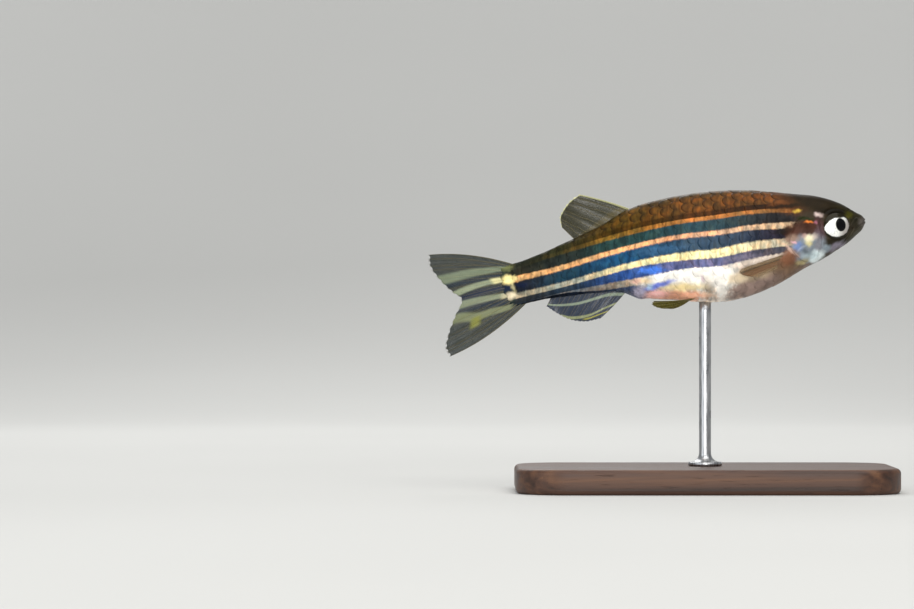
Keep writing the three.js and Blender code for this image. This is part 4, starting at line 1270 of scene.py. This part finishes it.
# %% The eye's look
def eye_material():
    """Grainy silver with painted shade ahead of the pupil, a dark rim, a brow of dark pigment with painted
    shade under the socket's rim, and a black pupil, under one clear coat.
    """
    material, tree, shader = new_material("danio_eye", Coat_Weight=0.5, Coat_Roughness=0.03, Coat_IOR=1.3,
                                          Specular_IOR_Level=0.05)
    film = place_group(tree, FILM, Per_mm=4.0, Gloss=0.3, Change=0.2)
    grain = noise(tree, 7 * PER_METRE, 4.0)
    swing = math_node(tree, "MULTIPLY", math_node(tree, "SUBTRACT", grain, 0.5), 0.24)
    iris = ramp(tree, grain, [(0.3, rgb("#cfd2cf")), (0.5, rgb("#f3f4f0")), (0.7, rgb("#fffdf4"))])
    # Painted shade greys the silver ahead of the pupil.
    dull = math_node(tree, "MULTIPLY", stored(tree, "dull"), 0.85)
    iris = mix_colour(tree, dull, iris, rgb("#9c948f"))
    silver = math_node(tree, "ADD", stored(tree, "silver"), swing)
    iris = mix_colour(tree, between(tree, silver, 0.95, 1.05), iris, rgb("#26251c"))
    # The brow: dark pigment over the top of the iris, with painted shade under the socket's rim.
    brow = math_node(tree, "ADD", stored(tree, "brow"), swing)
    iris = mix_colour(tree, between(tree, brow, -0.07, 0.09), iris, rgb("#1d190b"))
    waver = math_node(tree, "MULTIPLY", swing, 0.4)
    reach = math_node(tree, "ADD", stored(tree, "pupil"), waver)
    ring = math_node(tree, "MULTIPLY", between(tree, reach, 1.3, 1.02), 0.25)
    iris = mix_colour(tree, ring, iris, rgb("#9a9a8e"))
    hole = between(tree, reach, 1.04, 0.94)
    colour = mix_colour(tree, hole, iris, rgb("#050507"))
    metal = math_node(tree, "MULTIPLY", math_node(tree, "SUBTRACT", 1.0, hole), 0.35)
    drive(tree, shader, Base_Color=colour, Roughness=film["Roughness"], Metallic=metal)
    return material


EYE_LOOK = eye_material()
for hand, eye in eyes.items():
    finish_piece(eye, EYE_LOOK, "eye", "eye_" + hand)

# %% [markdown]
# ## Fins
# A fin is a clear skin stretched over bony rays. The rays start as one stem, part in two and then in
# four towards the margin, and are jointed like bamboo, which lets a fin curl. The same curved surface
# carries both, given by a root line, a margin line and a bow for every ray, as in the solids. Thin
# real sheets with some alpha let light through better than a transmission shader would.

# %% Lines that fins start and end on
def through(points, at):
    """Places on a smooth curve through the given points, at shares from 0 to 1."""
    points = np.array(points, float)
    return curve(np.arange(len(points)), points, at * (len(points) - 1))


def ridge(start, end, sunk, back):
    """A root line sunk under the line of the back or the belly."""
    behind = np.linspace(start, end, 7)
    edge = sizes(behind)[0 if back else 1]
    return np.stack([-behind, behind * 0, edge - sunk], -1)


def middle_line(points):
    """Points of the fish's middle plane."""
    return [(-behind, 0.0, up) for behind, up in points]


def on_side(side, points):
    """Points given by how far they stand out from the flank."""
    return [(-s, side * (float(side_at(s, up)) + out), up) for s, up, out in points]


def below(side, points):
    """Points given by how far they lie from the middle and over the line of the belly."""
    return [(-s, side * out, float(sizes(np.array(s))[1]) + drop) for s, out, drop in points]


print("the dorsal fin starts at", ridge(22.0, 28.3, 0.7, True)[0].round(2))

# %% Surface of a fin
def fin_place(fin, at, share):
    """Points of a fin's middle surface, at shares across it and along its rays."""
    start, end = through(fin["root"], at), through(fin["margin"], at)
    pull = (start + end) / 2 + fin["bow"](at)
    share = np.asarray(share)[..., None]
    point = (1 - share) ** 2 * start + 2 * share * (1 - share) * pull + share**2 * end
    wave = fin["wave"] * np.sin(5.2 * at[..., None] + 3.1 * share + fin["phase"]) * share**2
    point[..., 1:2] += wave
    return point


def fin_axes(fin, at, share):
    """The surface's normal, and the way across the rays, from small steps."""
    step = 0.01
    wide = fin_place(fin, np.minimum(at + step, 1), share) - fin_place(fin, np.maximum(at - step, 0), share)
    long_way = fin_place(fin, at, share + step) - fin_place(fin, at, share - step)
    normal = np.cross(wide, long_way)
    normal /= np.linalg.norm(normal, axis=-1, keepdims=True)
    long_way /= np.linalg.norm(long_way, axis=-1, keepdims=True)
    return normal, np.cross(long_way, normal)


def bow_by(side, start, end, up):
    """How far the middle of each ray of a paired fin is pulled outwards and up."""
    return lambda at: np.stack([at * 0, side * (start + (end - start) * at), at * 0 + up], -1)


print("a pectoral fin's first ray bows by", bow_by(1, 0.7, 0.25, 0.1)(np.array([0.0])).round(2)[0])

# %% List of fins
# Rays, how many of the first don't fork, thickness of a ray, waves across, root, margin and bow.
TAIL_MARGIN = [(43.4, 5.7), (43.55, 4.5), (42.95, 2.9), (42.1, 1.5), (41.4, 0.45), (42.5, -0.9),
               (43.55, -2.3), (44.25, -3.7), (44.0, -4.7)]
FINS = {
    "dorsal_fin": dict(
        rays=9, simple=2, ray=0.065, wave=0.16, phase=0.4, root=ridge(22.0, 28.3, 0.7, True),
        margin=middle_line([(27.0, 7.48), (28.05, 7.1), (28.9, 6.5), (29.5, 5.8), (29.6, 4.85)]),
        bow=lambda at: np.stack([at * 0, at * 0, 0.32 * (1 - at)], -1)),
    "anal_fin": dict(
        rays=15, simple=3, ray=0.06, wave=0.22, phase=2.0, root=ridge(24.75, 32.0, -0.7, False),
        margin=middle_line([(28.2, -5.05), (29.7, -4.95), (31.1, -4.4), (32.2, -3.5), (33.1, -2.45)]),
        bow=lambda at: np.stack([at * 0, at * 0, -0.2 * (1 - at)], -1)),
    "tail_fin": dict(
        rays=19, simple=1, ray=0.075, wave=0.3, phase=0.9,
        root=middle_line([(34.9, 2.2), (35.2, 0.45), (34.9, -1.45)]), margin=middle_line(TAIL_MARGIN),
        bow=lambda at: np.stack([at * 0, at * 0, np.sign(0.5 - at) * np.abs(1 - 2 * at) ** 2], -1)),
}
for side, hand in HANDS:
    FINS["pectoral_fin_" + hand] = dict(
        rays=12, simple=1, ray=0.045, wave=0.1, phase=1.2 + side,
        root=on_side(side, [(8.15, -2.2, -0.6), (8.35, -2.7, -0.6), (8.55, -3.2, -0.6)]),
        margin=on_side(side, [(13.3, -3.05, 2.3), (13.5, -3.4, 1.7), (12.9, -3.8, 1.25),
                              (11.6, -4.15, 0.95)]),
        bow=bow_by(side, 0.7, 0.25, 0.1))
    FINS["pelvic_fin_" + hand] = dict(
        rays=8, simple=1, ray=0.045, wave=0.06, phase=0.3 + side,
        root=below(side, [(17.7, 1.0, 0.45), (18.1, 0.8, 0.35), (18.5, 0.6, 0.3)]),
        margin=below(side, [(22.4, 2.05, -0.2), (22.6, 1.8, -0.6), (21.9, 1.4, -0.9), (20.6, 1.0, -0.9)]),
        bow=bow_by(side, 0.25, 0.0, -0.3))
print("fins:", ", ".join(FINS))

# %% [markdown]
# ## Colours of the fins
# The tail and anal fins carry the stripes on. Between pale stripes lie deep blue ones, and the rest
# is clear and smoky. The dorsal fin is olive with a cream rim. These are again soft bands, here in the
# fin's own coordinates: across the rays, and along them.

# %% List of fin colours
# Base colour and opacity, then lines: places (along, across) that one runs through, its half width,
# colour and opacity. Along is 0 at the root and 1 at the margin, and across is 0 at the first ray.
FIN_PAINT = {
    "dorsal_fin": ("#29270d", 0.88, [
        ([(-0.1, 0.5), (0.15, 0.5), (0.3, 0.5)], 0.9, "#453c17", 0.9),
        ([(-0.1, 0.0), (0.5, 0.0), (1.1, 0.0)], 0.022, "#a9a97a", 0.95)]),
    "anal_fin": ("#1d293c", 0.92, []),
    "tail_fin": ("#262c26", 0.8, [
        ([(0.2, 0.26), (0.51, 0.283), (0.78, 0.29), (1.1, 0.313)], 0.035, "#14222b", 0.9),
        ([(0.2, 0.485), (0.58, 0.467), (0.91, 0.48), (1.1, 0.49)], 0.045, "#101f36", 0.92),
        ([(0.2, 0.76), (0.463, 0.657), (0.793, 0.597), (1.1, 0.583)], 0.035, "#14222e", 0.9),
        ([(0.1, 0.11), (0.33, 0.17), (0.59, 0.207), (0.86, 0.24), (1.1, 0.255)], 0.04, "#707b62", 0.88),
        ([(0.15, 0.33), (0.41, 0.34), (0.73, 0.373), (1.1, 0.427)], 0.032, "#8d967a", 0.9),
        ([(0.15, 0.65), (0.32, 0.607), (0.66, 0.56), (1.1, 0.54)], 0.034, "#838b71", 0.9),
        ([(0.15, 0.87), (0.383, 0.777), (0.587, 0.74), (0.9, 0.663), (1.1, 0.65)], 0.04, "#757b59", 0.88),
        ([(0.56, 0.785), (0.65, 0.777), (0.74, 0.77)], 0.05, "#7f8130", 0.85),
        ([(0.0, 0.3), (0.2, 0.325), (0.42, 0.34)], 0.045, "#d9d29a", 0.95),
        ([(0.0, 0.66), (0.2, 0.645), (0.34, 0.61)], 0.04, "#b9b290", 0.95)]),
    "pectoral_fin": ("#a58a68", 0.22, [
        ([(-0.1, 0.5), (0.5, 0.56), (1.1, 0.6)], 0.26, "#8a6444", 0.72),
        ([(-0.1, 0.3), (0.5, 0.36), (1.1, 0.42)], 0.06, "#6e5236", 0.6),
        ([(-0.1, 0.0), (0.5, 0.0), (1.1, 0.0)], 0.05, "#7c6444", 0.5)]),
    "pelvic_fin": ("#544d0c", 0.8, [
        ([(-0.1, 0.0), (0.5, 0.0), (1.1, 0.0)], 0.1, "#4c450e", 0.85)]),
}
# The anal fin's pale stripes run across its rays: places (across, along), half width and colour.
ANAL_STRIPES = [
    ([(-0.1, 0.12), (0.27, 0.31), (0.52, 0.48), (0.81, 0.68), (1.1, 0.99)], 0.045, "#7f8b78"),
    ([(-0.1, 0.3), (0.1, 0.64), (0.2, 0.77), (0.4, 0.89), (0.55, 0.96), (0.75, 1.03)], 0.045, "#858a64"),
    ([(-0.05, 0.68), (0.05, 0.79), (0.22, 0.905), (0.35, 0.94)], 0.03, "#8f8a3a"),
]
CREAM_RIM = dict(start=0.972, full=0.986, colour="#dcdca6", opacity=0.97)  # margin of the dorsal fin
print("painted lines:", sum(len(lines) for _, _, lines in FIN_PAINT.values()) + len(ANAL_STRIPES))

# %% Painting a fin
def on_line(line, half, along, across):
    """1 on a painted line and 0 beside it and past its ends."""
    knots, places = np.array(line).T
    weight = 1 - smooth(half * 0.6, half * 1.4, np.abs(across - curve(knots, places, along)))
    ends = smooth(knots[0] - 0.03, knots[0] + 0.06, along) * (1 - smooth(knots[-1] - 0.08, knots[-1], along))
    return weight * ends


def paint_fin(name, at, share):
    """Colour and opacity of a fin at shares across it and along its rays."""
    kind = name.replace("_left", "").replace("_right", "")
    base, opacity, lines = FIN_PAINT[kind]
    colour = np.broadcast_to(np.array(rgb(base)[:3]), at.shape + (3,)).copy()
    cover = np.full(at.shape, float(opacity))
    layers = [(on_line(line, half, share, at), code, solid) for line, half, code, solid in lines]
    if kind == "anal_fin":
        layers += [(on_line(line, half, at, share), code, 0.95) for line, half, code in ANAL_STRIPES]
    if kind == "dorsal_fin":
        rim = smooth(CREAM_RIM["start"], CREAM_RIM["full"], share)
        layers.append((rim, CREAM_RIM["colour"], CREAM_RIM["opacity"]))
    for weight, code, solid in layers:
        colour += (np.array(rgb(code)[:3]) - colour) * weight[..., None]
        cover += (solid - cover) * weight
    return colour, cover


root_of_pelvic = paint_fin("pelvic_fin_left", np.array([0.5]), np.array([0.0]))
print("opacity at a pelvic fin's root:", root_of_pelvic[1].round(2))

# %% Build the membranes
MEMBRANE_THICK = dict(root=0.1, margin=0.025)
NOTCH = 0.012  # depth of the margin's scallops between rays, as a share of a ray
BULGE = 0.03  # how far the sheet bows between two rays


def build_membrane(name, fin):
    """A thin closed sheet over the whole fin, bowed to one side and the other between its rays."""
    gaps, per_gap, rows = fin["rays"] - 1, 8, 64
    across = np.linspace(0, 1, gaps * per_gap + 1)
    frac = np.mod(across * gaps, 1.0)
    notch = 1 - NOTCH * np.sin(np.pi * frac) ** 1.5
    at = np.repeat(across, rows)
    share = (np.linspace(0, 1, rows)[None] * notch[:, None]).ravel()
    middle = fin_place(fin, at, share)
    normal, _ = fin_axes(fin, at, share)
    to_side = np.where(np.floor(at * gaps) % 2 == 0, 1, -0.4)
    bulge = BULGE * np.sin(np.pi * np.repeat(frac, rows)) * to_side
    root, margin = MEMBRANE_THICK["root"], MEMBRANE_THICK["margin"]
    thick = (root + (margin - root) * share**0.6) / 2
    front = middle + normal * (bulge + thick)[:, None]
    rear = middle + normal * (bulge - thick)[:, None]
    colour, cover = paint_fin(name, at, share)
    values = dict(paint=np.tile(colour, (2, 1)), opacity=np.tile(cover, 2), fin_along=np.tile(share, 2))
    faces = sheet_faces(len(across), rows)
    return make_piece(name + "_membrane", np.concatenate([front, rear]), faces, values)


print("a membrane is", MEMBRANE_THICK["root"], "mm thick at its root")

# %% Stems and branches
JOINT = 0.24  # length of one joint of a ray
RAY_STEP = 0.06  # length of one face along a ray
RAY_SIDES = 6
FORK = (0.17, 0.085)  # how far the first and the second branches part, as shares of a gap


def ray_lines(fin):
    """Every stem and branch of the rays, as places across and along the fin with a thickness."""
    gaps = fin["rays"] - 1
    lines = []
    for ray in range(fin["rays"]):
        at = ray / gaps
        if ray < fin["simple"] or (ray == gaps and fin["simple"] == 1):
            lines.append((at, at, 0.0, 1.01, 1.15, 0.35))
            continue
        lines.append((at, at, 0.0, 0.42, 1.0, 0.75))
        for first in (-1, 1):
            fork = np.clip(at + first * FORK[0] / gaps, 0, 1)
            lines.append((at, fork, 0.41, 0.7, 0.62, 0.48))
            for second in (-1, 1):
                twig = np.clip(fork + second * FORK[1] / gaps, 0, 1)
                lines.append((fork, twig, 0.69, 1.01, 0.42, 0.18))
    return lines


print("stems and branches in the tail fin:", len(ray_lines(FINS["tail_fin"])))

# %% Build the rays
def build_rays(name, fin):
    """Every ray of a fin as jointed tubes in one mesh."""
    turn = np.arange(RAY_SIDES) / RAY_SIDES * 2 * np.pi
    points, faces, ats, shares, joints = [], [], [], [], []
    start = 0
    for first, last, low, high, thick, thin in ray_lines(fin):
        ends = fin_place(fin, np.array([first, last]), np.array([low, high]))
        steps = max(4, int(np.linalg.norm(ends[1] - ends[0]) / RAY_STEP))
        t = np.linspace(0, 1, steps + 1)
        at, share = first + (last - first) * smooth(0, 0.5, t), low + (high - low) * t
        middle = fin_place(fin, at, share)
        normal, wide = fin_axes(fin, at, np.minimum(share, 0.985))
        travelled = np.r_[0, np.cumsum(np.linalg.norm(np.diff(middle, axis=0), axis=1))]
        joint = dip(np.mod(travelled / JOINT, 1.0) - 0.5, 0.16)
        radius = fin["ray"] * (thick + (thin - thick) * t) * (1 - 0.16 * joint)
        ring = normal[:, None] * np.cos(turn)[None, :, None] + wide[:, None] * np.sin(turn)[None, :, None]
        points.append((middle[:, None] + ring * radius[:, None, None]).reshape(-1, 3))
        faces += tube_faces(steps + 1, RAY_SIDES, start)
        for store, value in ((ats, at), (shares, share), (joints, joint)):
            store.append(np.repeat(value, RAY_SIDES))
        start += (steps + 1) * RAY_SIDES
    at, share = np.concatenate(ats), np.clip(np.concatenate(shares), 0, 1)
    colour, cover = paint_fin(name, at, share)
    values = dict(paint=colour, opacity=cover, fin_along=share, joint=np.concatenate(joints))
    return make_piece(name + "_rays", np.concatenate(points), faces, values)


print("a ray has", RAY_SIDES, "sides and a joint every", JOINT, "mm")

# %% [markdown]
# ## The fins' materials
# Membranes and rays read the same paint, but the ray is bone under skin: paler, less clear, and dark
# at its joints. The sheet carries pigment specks and is a little uneven in how much it hides.

# %% Material of membranes and rays
def fin_material(name, is_ray):
    """The fins' paint, as bone under skin for rays and as speckled skin for membranes."""
    material, tree, shader = new_material(name, Coat_Roughness=0.15, Coat_Weight=0.25, Specular_IOR_Level=0.3)
    film = place_group(tree, FILM, Per_mm=1.6, Gloss=0.42, Change=0.2)
    specks = place_group(tree, SPECKS, Per_mm=8.0, Amount=0.4, Size=0.3)
    paint = stored(tree, "paint", "Color")
    opacity = stored(tree, "opacity")
    if is_ray:
        colour = mix_colour(tree, 0.14, paint, rgb("#b9a878"))
        joint = math_node(tree, "MULTIPLY", stored(tree, "joint"), 0.4)
        colour = mix_colour(tree, joint, colour, rgb("#2c2818"))
        alpha = between(tree, opacity, 0.4, 1.0, 0.75, 1.0)
    else:
        dark = math_node(tree, "MULTIPLY", specks["Mask"], 0.5)
        colour = mix_colour(tree, dark, paint, rgb("#14160f"))
        more = math_node(tree, "MULTIPLY", specks["Mask"], 0.2)
        swing = math_node(tree, "MULTIPLY", math_node(tree, "SUBTRACT", film["Height"], 0.5), 0.3)
        alpha = math_node(tree, "ADD", math_node(tree, "ADD", opacity, more), swing)
    fine = put(tree, "ShaderNodeBump", {"Height": film["Height"], "Strength": 0.3, "Distance": 0.00003})
    drive(tree, shader, Base_Color=colour, Roughness=film["Roughness"], Alpha=alpha, Normal=fine.outputs[0])
    return material


MEMBRANE, RAYS = fin_material("fin_membrane", False), fin_material("fin_rays", True)
for name, fin in FINS.items():
    slot = "striped_fin" if name in ("anal_fin", "tail_fin") else "clear_fin"
    nodes = ["tail_fin_upper_lobe", "tail_fin_lower_lobe"] if name == "tail_fin" else [name]
    finish_piece(build_membrane(name, fin), MEMBRANE, slot, *nodes)
    finish_piece(build_rays(name, fin), RAYS, slot)

# %% [markdown]
# ## Feelers
# Zebra danios have two pairs of short feelers, one by the nostrils and one at the corners of the
# mouth, with which they search for food. Each is a soft thread, thickest at its root, so a tube along
# a smooth line with a falling radius is all it needs.

# %% Shape of the feelers
# Root on the body, then points given by how far they lie behind, outside and over it.
FEELERS = {
    "nostril": dict(root=(0.75, 0.35), lead=[(0.2, 0.3, 0.0), (0.6, 0.6, -0.25), (0.95, 0.7, -0.7)]),
    "corner": dict(root=(1.15, -0.45), lead=[(0.35, 0.4, -0.4), (1.2, 0.7, -1.35), (2.2, 0.65, -2.05)]),
}
FEELER_ROWS = 44
FEELER_ROOT = 0.085  # radius that falls away from the root to the tip
FEELER_TIP = 0.03
FEELER_END = [0.9, 0.7, 0.35]  # the last rings close in, so that the tip is round


def tube(points, radii, sides=12):
    """Rings of points round a line, and their faces."""
    way = np.gradient(points, axis=0)
    way /= np.linalg.norm(way, axis=1, keepdims=True)
    side_way = np.cross(way, [0.31, 0.83, 0.46])
    side_way /= np.linalg.norm(side_way, axis=1, keepdims=True)
    turn = np.arange(sides) / sides * 2 * np.pi
    ring = side_way[:, None] * np.cos(turn)[None, :, None]
    ring = ring + np.cross(way, side_way)[:, None] * np.sin(turn)[None, :, None]
    rings = points[:, None] + ring * radii[:, None, None]
    return rings.reshape(-1, 3), tube_faces(len(points), sides)


print("pairs of feelers:", len(FEELERS))

# %% Build the feelers
def build_feeler(name, feeler, side):
    """One tapering thread, with the markings of the skin at its place."""
    behind, up = feeler["root"]
    out = float(side_at(behind, up))
    line = [(0.0, -0.25, 0.0), *feeler["lead"]]
    line = [(-behind - back, side * (out + away), up + rise) for back, away, rise in line]
    t = np.linspace(0, 1, FEELER_ROWS)
    radii = FEELER_ROOT * (1 - t) ** 0.7 + FEELER_TIP
    radii[-len(FEELER_END):] *= FEELER_END
    points, faces = tube(through(line, t), radii)
    marks = carry_markings(-points[:, 0], points[:, 2])
    return make_piece(name, points, faces, marks)


for side, hand in HANDS:
    for label, feeler in FEELERS.items():
        finish_piece(build_feeler("feeler_" + label + "_" + hand, feeler, side), SKIN, "head_skin")

# %% [markdown]
# ## The stand
# A model of a swimming fish needs holding up. A museum would use a thin steel rod, turned with a small
# foot, on a plate of dark oiled wood. Both are profiles here: the plate's is carried round a rounded
# rectangle, and the rod's is turned on a lathe. Small rounds on every edge catch the light.

# %% The base plate
STAND = dict(length=38.0, width=22.0, height=2.5, corner=5.0, edge=0.5)
CORNER_STEPS = 14
BASE_SIDES = 4 * CORNER_STEPS


def rounded_outline(inset):
    """The plate's outline, moved inwards, as points on its four corners."""
    x, y = STAND["length"] / 2 - inset, STAND["width"] / 2 - inset
    r = STAND["corner"] - inset
    points = []
    for k, (sx, sy) in enumerate(((1, 1), (-1, 1), (-1, -1), (1, -1))):
        turn = np.linspace(k, k + 1, CORNER_STEPS) * np.pi / 2
        points.append(np.stack([sx * (x - r) + r * np.cos(turn), sy * (y - r) + r * np.sin(turn)], -1))
    return np.concatenate(points)


def build_base():
    """Layers of the outline from the middle of the underside, round the edge, to the top."""
    edge, height = STAND["edge"], STAND["height"]
    turn = np.linspace(0, np.pi / 2, 7)
    layers = [(3.0, 0.0), (edge, 0.0)]
    layers += [(edge * (1 - math.sin(a)), edge * (1 - math.cos(a))) for a in turn[1:]]
    layers += [(edge * (1 - math.cos(a)), height - edge + edge * math.sin(a)) for a in turn]
    layers += [(1.5, height), (3.0, height)]
    rings = [np.c_[rounded_outline(inset), np.full(BASE_SIDES, z)] for inset, z in layers]
    return make_piece("base_plate", np.concatenate(rings), tube_faces(len(rings), BASE_SIDES), flat=True)


base_plate = build_base()
print("points round the plate:", BASE_SIDES)

# %% The rod
ROD = dict(radius=0.6, foot=1.7, foot_from=2.5, sides=48, cove=0.85)


def build_rod():
    """A turned rod: a small foot, a hollow curve over it, and a straight shaft into the belly."""
    belly = float(bend(np.array([[-HELD_AT, 0, sizes(np.array(HELD_AT))[1]]]))[0, 2])
    foot = ROD["foot_from"]
    turn = np.linspace(0, np.pi / 2, 9)
    hollow, wide = ROD["cove"], ROD["foot"]
    cove = [(ROD["radius"] + hollow * (1 - math.sin(a)), foot + 0.45 + hollow * (1 - math.cos(a)))
            for a in turn]
    profile = [(0.02, foot), (wide - 0.12, foot), (wide, foot + 0.12), (wide, foot + 0.33),
               (wide - 0.1, foot + 0.43), *cove, (ROD["radius"], belly - 1.0),
               (ROD["radius"], belly + 0.3), (0.02, belly + 0.3)]
    radius, z = np.array(profile).T
    sides = ROD["sides"]
    turn = np.arange(sides) / sides * 2 * np.pi
    rings = np.stack([radius[:, None] * np.cos(turn), radius[:, None] * np.sin(turn),
                      np.repeat(z[:, None], sides, 1)], -1)
    return make_piece("steel_rod", rings.reshape(-1, 3), tube_faces(len(radius), sides), flat=True)


steel_rod = build_rod()
print("the rod has", ROD["sides"], "sides")

# %% [markdown]
# ## Wood and steel
# Oiled walnut shows broad grain and fine dark pores, both drawn out along the plate. Brushed steel is
# a full metal whose roughness changes in fine streaks. The streak group makes all of them.

# %% Materials of the stand
def wood_material():
    """Brown grain with fine dark pores."""
    material, tree, shader = new_material("oiled_wood", Specular_IOR_Level=0.4)
    grain = place_group(tree, STREAKS, Along=0.03, Across=0.9, Waver=0.6)["Mask"]
    pores = place_group(tree, STREAKS, Along=0.35, Across=7.0, Waver=0.1)["Mask"]
    colour = ramp(tree, grain, [(0.3, rgb("#2c1b12")), (0.5, rgb("#4a3022")), (0.68, rgb("#65452f"))])
    hole = between(tree, pores, 0.6, 0.72)
    colour = mix_colour(tree, math_node(tree, "MULTIPLY", hole, 0.6), colour, rgb("#1a0f0a"))
    bump = put(tree, "ShaderNodeBump", {"Height": math_node(tree, "SUBTRACT", grain, hole),
                                        "Strength": 0.3, "Distance": 0.00008})
    rough = between(tree, grain, 0.2, 0.8, 0.38, 0.56)
    drive(tree, shader, Base_Color=colour, Roughness=rough, Normal=bump.outputs[0])
    return material


def steel_material():
    """Bright metal with faint brush marks."""
    material, tree, shader = new_material("brushed_steel", Metallic=1.0)
    brush = place_group(tree, STREAKS, Along=6.0, Across=0.6, Waver=0.0)["Mask"]
    colour = ramp(tree, brush, [(0.3, rgb("#8f9193")), (0.7, rgb("#c6c7c8"))])
    bump = put(tree, "ShaderNodeBump", {"Height": brush, "Strength": 0.1, "Distance": 0.00002})
    drive(tree, shader, Base_Color=colour, Roughness=between(tree, brush, 0.2, 0.8, 0.24, 0.4),
          Normal=bump.outputs[0])
    return material


finish_piece(base_plate, wood_material(), "stand_wood", "stand_base")
finish_piece(steel_rod, steel_material(), "stand_steel", "stand_rod")

# %% [markdown]
# ## Floor
# A pale floor that curves up behind the fish gives a plain background with no horizon. Seen from
# behind, the wall would hide the fish, so its back is clear. A floor of endless size would end in a
# hard line at the sides, so it fades out into the pale light of the studio instead.

# %% Build the floor
FLOOR = dict(half=1500.0, bend_from=260.0, bend=400.0, top=1100.0, columns=9)
FLOOR_FADES = dict(ahead=(-0.2, -0.5), beside=(0.18, 0.55))  # where each fade starts and ends, in metres


def floor_material():
    """Pale and dull, clear on its back, and fading out in front of the fish and at both sides."""
    material, tree, shader = new_material("pale_floor", Roughness=0.85, Specular_IOR_Level=0.2)
    cloud = noise(tree, 6.0, 2.0)
    drive(tree, shader, Base_Color=ramp(tree, cloud, [(0.3, rgb("#c9c9c6")), (0.7, rgb("#cfcfcc"))]))
    parts = put(tree, "ShaderNodeSeparateXYZ", {0: own_place(tree)}).outputs
    ahead = between(tree, parts[1], *FLOOR_FADES["ahead"])
    beside = between(tree, math_node(tree, "ABSOLUTE", parts[0]), *FLOOR_FADES["beside"])
    outside = put(tree, "ShaderNodeNewGeometry").outputs["Backfacing"]
    faded = math_node(tree, "MAXIMUM", outside, math_node(tree, "MAXIMUM", ahead, beside))
    clear = put(tree, "ShaderNodeBsdfTransparent").outputs[0]
    both = put(tree, "ShaderNodeMixShader", {0: faded, 1: shader.outputs[0], 2: clear}).outputs[0]
    tree.links.new(both, tree.nodes["Material Output"].inputs["Surface"])
    return material


def build_floor():
    """A floor that curves up into a wall well behind the stand, so that no edge shows."""
    turn = np.linspace(0, np.pi / 2, 24)
    bend_from, radius = FLOOR["bend_from"], FLOOR["bend"]
    bend_up = [(bend_from + radius * math.sin(a), radius * (1 - math.cos(a))) for a in turn]
    line = [(-FLOOR["half"], 0.0), *bend_up, (bend_from + radius, FLOOR["top"])]
    across = np.linspace(-FLOOR["half"], FLOOR["half"], FLOOR["columns"])
    points = np.array([(x, y, z) for y, z in line for x in across])
    floor = make_piece("floor", points, grid_faces(len(line), FLOOR["columns"]), flat=True)
    floor.data.materials.append(floor_material())
    return floor


floor = build_floor()
print("faces of the floor:", len(floor.data.polygons))

# %% [markdown]
# ## Light
# The light is soft, as on a studio table. A large key lamp stands above and in front, a weaker one
# fills from the tail's side, and a low wide one in front lights the belly. One lamp behind draws the
# clear fins, and one on the wall keeps the background pale. The world adds a little light from all
# sides.

# %% Lamps
def lamp(name, place, size, power, colour=(1, 1, 1), at=(-0.003, 0, 0.025)):
    """A square soft lamp that faces the fish or another point. Places and sizes in metres."""
    data = bpy.data.lights.new(name, "AREA")
    data.size, data.energy, data.color = size, power, colour
    thing = bpy.data.objects.new(name, data)
    thing.location = place
    aim = Vector(at) - Vector(place)
    thing.rotation_euler = aim.to_track_quat("-Z", "Y").to_euler()
    bpy.context.scene.collection.objects.link(thing)


lamp("key", (0.06, -0.22, 0.36), size=0.4, power=1.25, colour=(1.0, 0.98, 0.95))
lamp("fill", (-0.28, -0.25, 0.10), size=0.25, power=0.4, colour=(0.92, 0.96, 1.0))
lamp("front", (0.02, -0.62, 0.05), size=0.3, power=2.3, colour=(1.0, 0.99, 0.97))
lamp("rim", (-0.05, 0.25, 0.22), size=0.18, power=0.35)
lamp("wall", (-0.02, 0.14, 0.8), size=0.7, power=2.0, at=(-0.02, 0.6, 0.5))
print("lamps:", ", ".join(data.name for data in bpy.data.lights))

# %% World
WORLD_POWER = dict(light=0.38, seen=0.75)  # dim as a light, pale where it shows
world = bpy.data.worlds.new("studio")
world.use_nodes = True
sky = world.node_tree.nodes["Background"]
sky.inputs["Color"].default_value = (0.9, 0.92, 0.95, 1)
seen = put(world.node_tree, "ShaderNodeLightPath").outputs["Is Camera Ray"]
power = between(world.node_tree, seen, 0.0, 1.0, WORLD_POWER["light"], WORLD_POWER["seen"])
world.node_tree.links.new(power, sky.inputs["Strength"])
bpy.context.scene.world = world
bpy.context.scene.view_settings.view_transform = "Standard"  # keeps the stripes as strong as they are
print("light from all sides:", WORLD_POWER["light"])

# %% [markdown]
# ## Camera
# The photo looks straight at the flank. At this scale one pixel of its 914 is a tenth of a millimetre
# at the fish. The camera stands far off, with a long lens, so that nothing leans.

# %% Place the camera
VIEW_WIDE = 91.4  # width of the view in millimetres at the fish, 914 pixels
CAMERA_AWAY = 450.0
CAMERA_MIDDLE = (-24.8, 18.65)  # what the middle of the picture looks at, along and up
SENSOR = 36.0
camera_data = bpy.data.cameras.new("camera")
camera_data.sensor_width = SENSOR
camera_data.lens = SENSOR * CAMERA_AWAY / VIEW_WIDE
camera_data.clip_start = 0.01
camera = bpy.data.objects.new("camera", camera_data)
camera.location = (CAMERA_MIDDLE[0] * MM, -CAMERA_AWAY * MM, CAMERA_MIDDLE[1] * MM)
camera.rotation_euler = (math.radians(90), 0, 0)
bpy.context.scene.collection.objects.link(camera)
bpy.context.scene.camera = camera
print("lens:", round(camera_data.lens, 1), "mm")
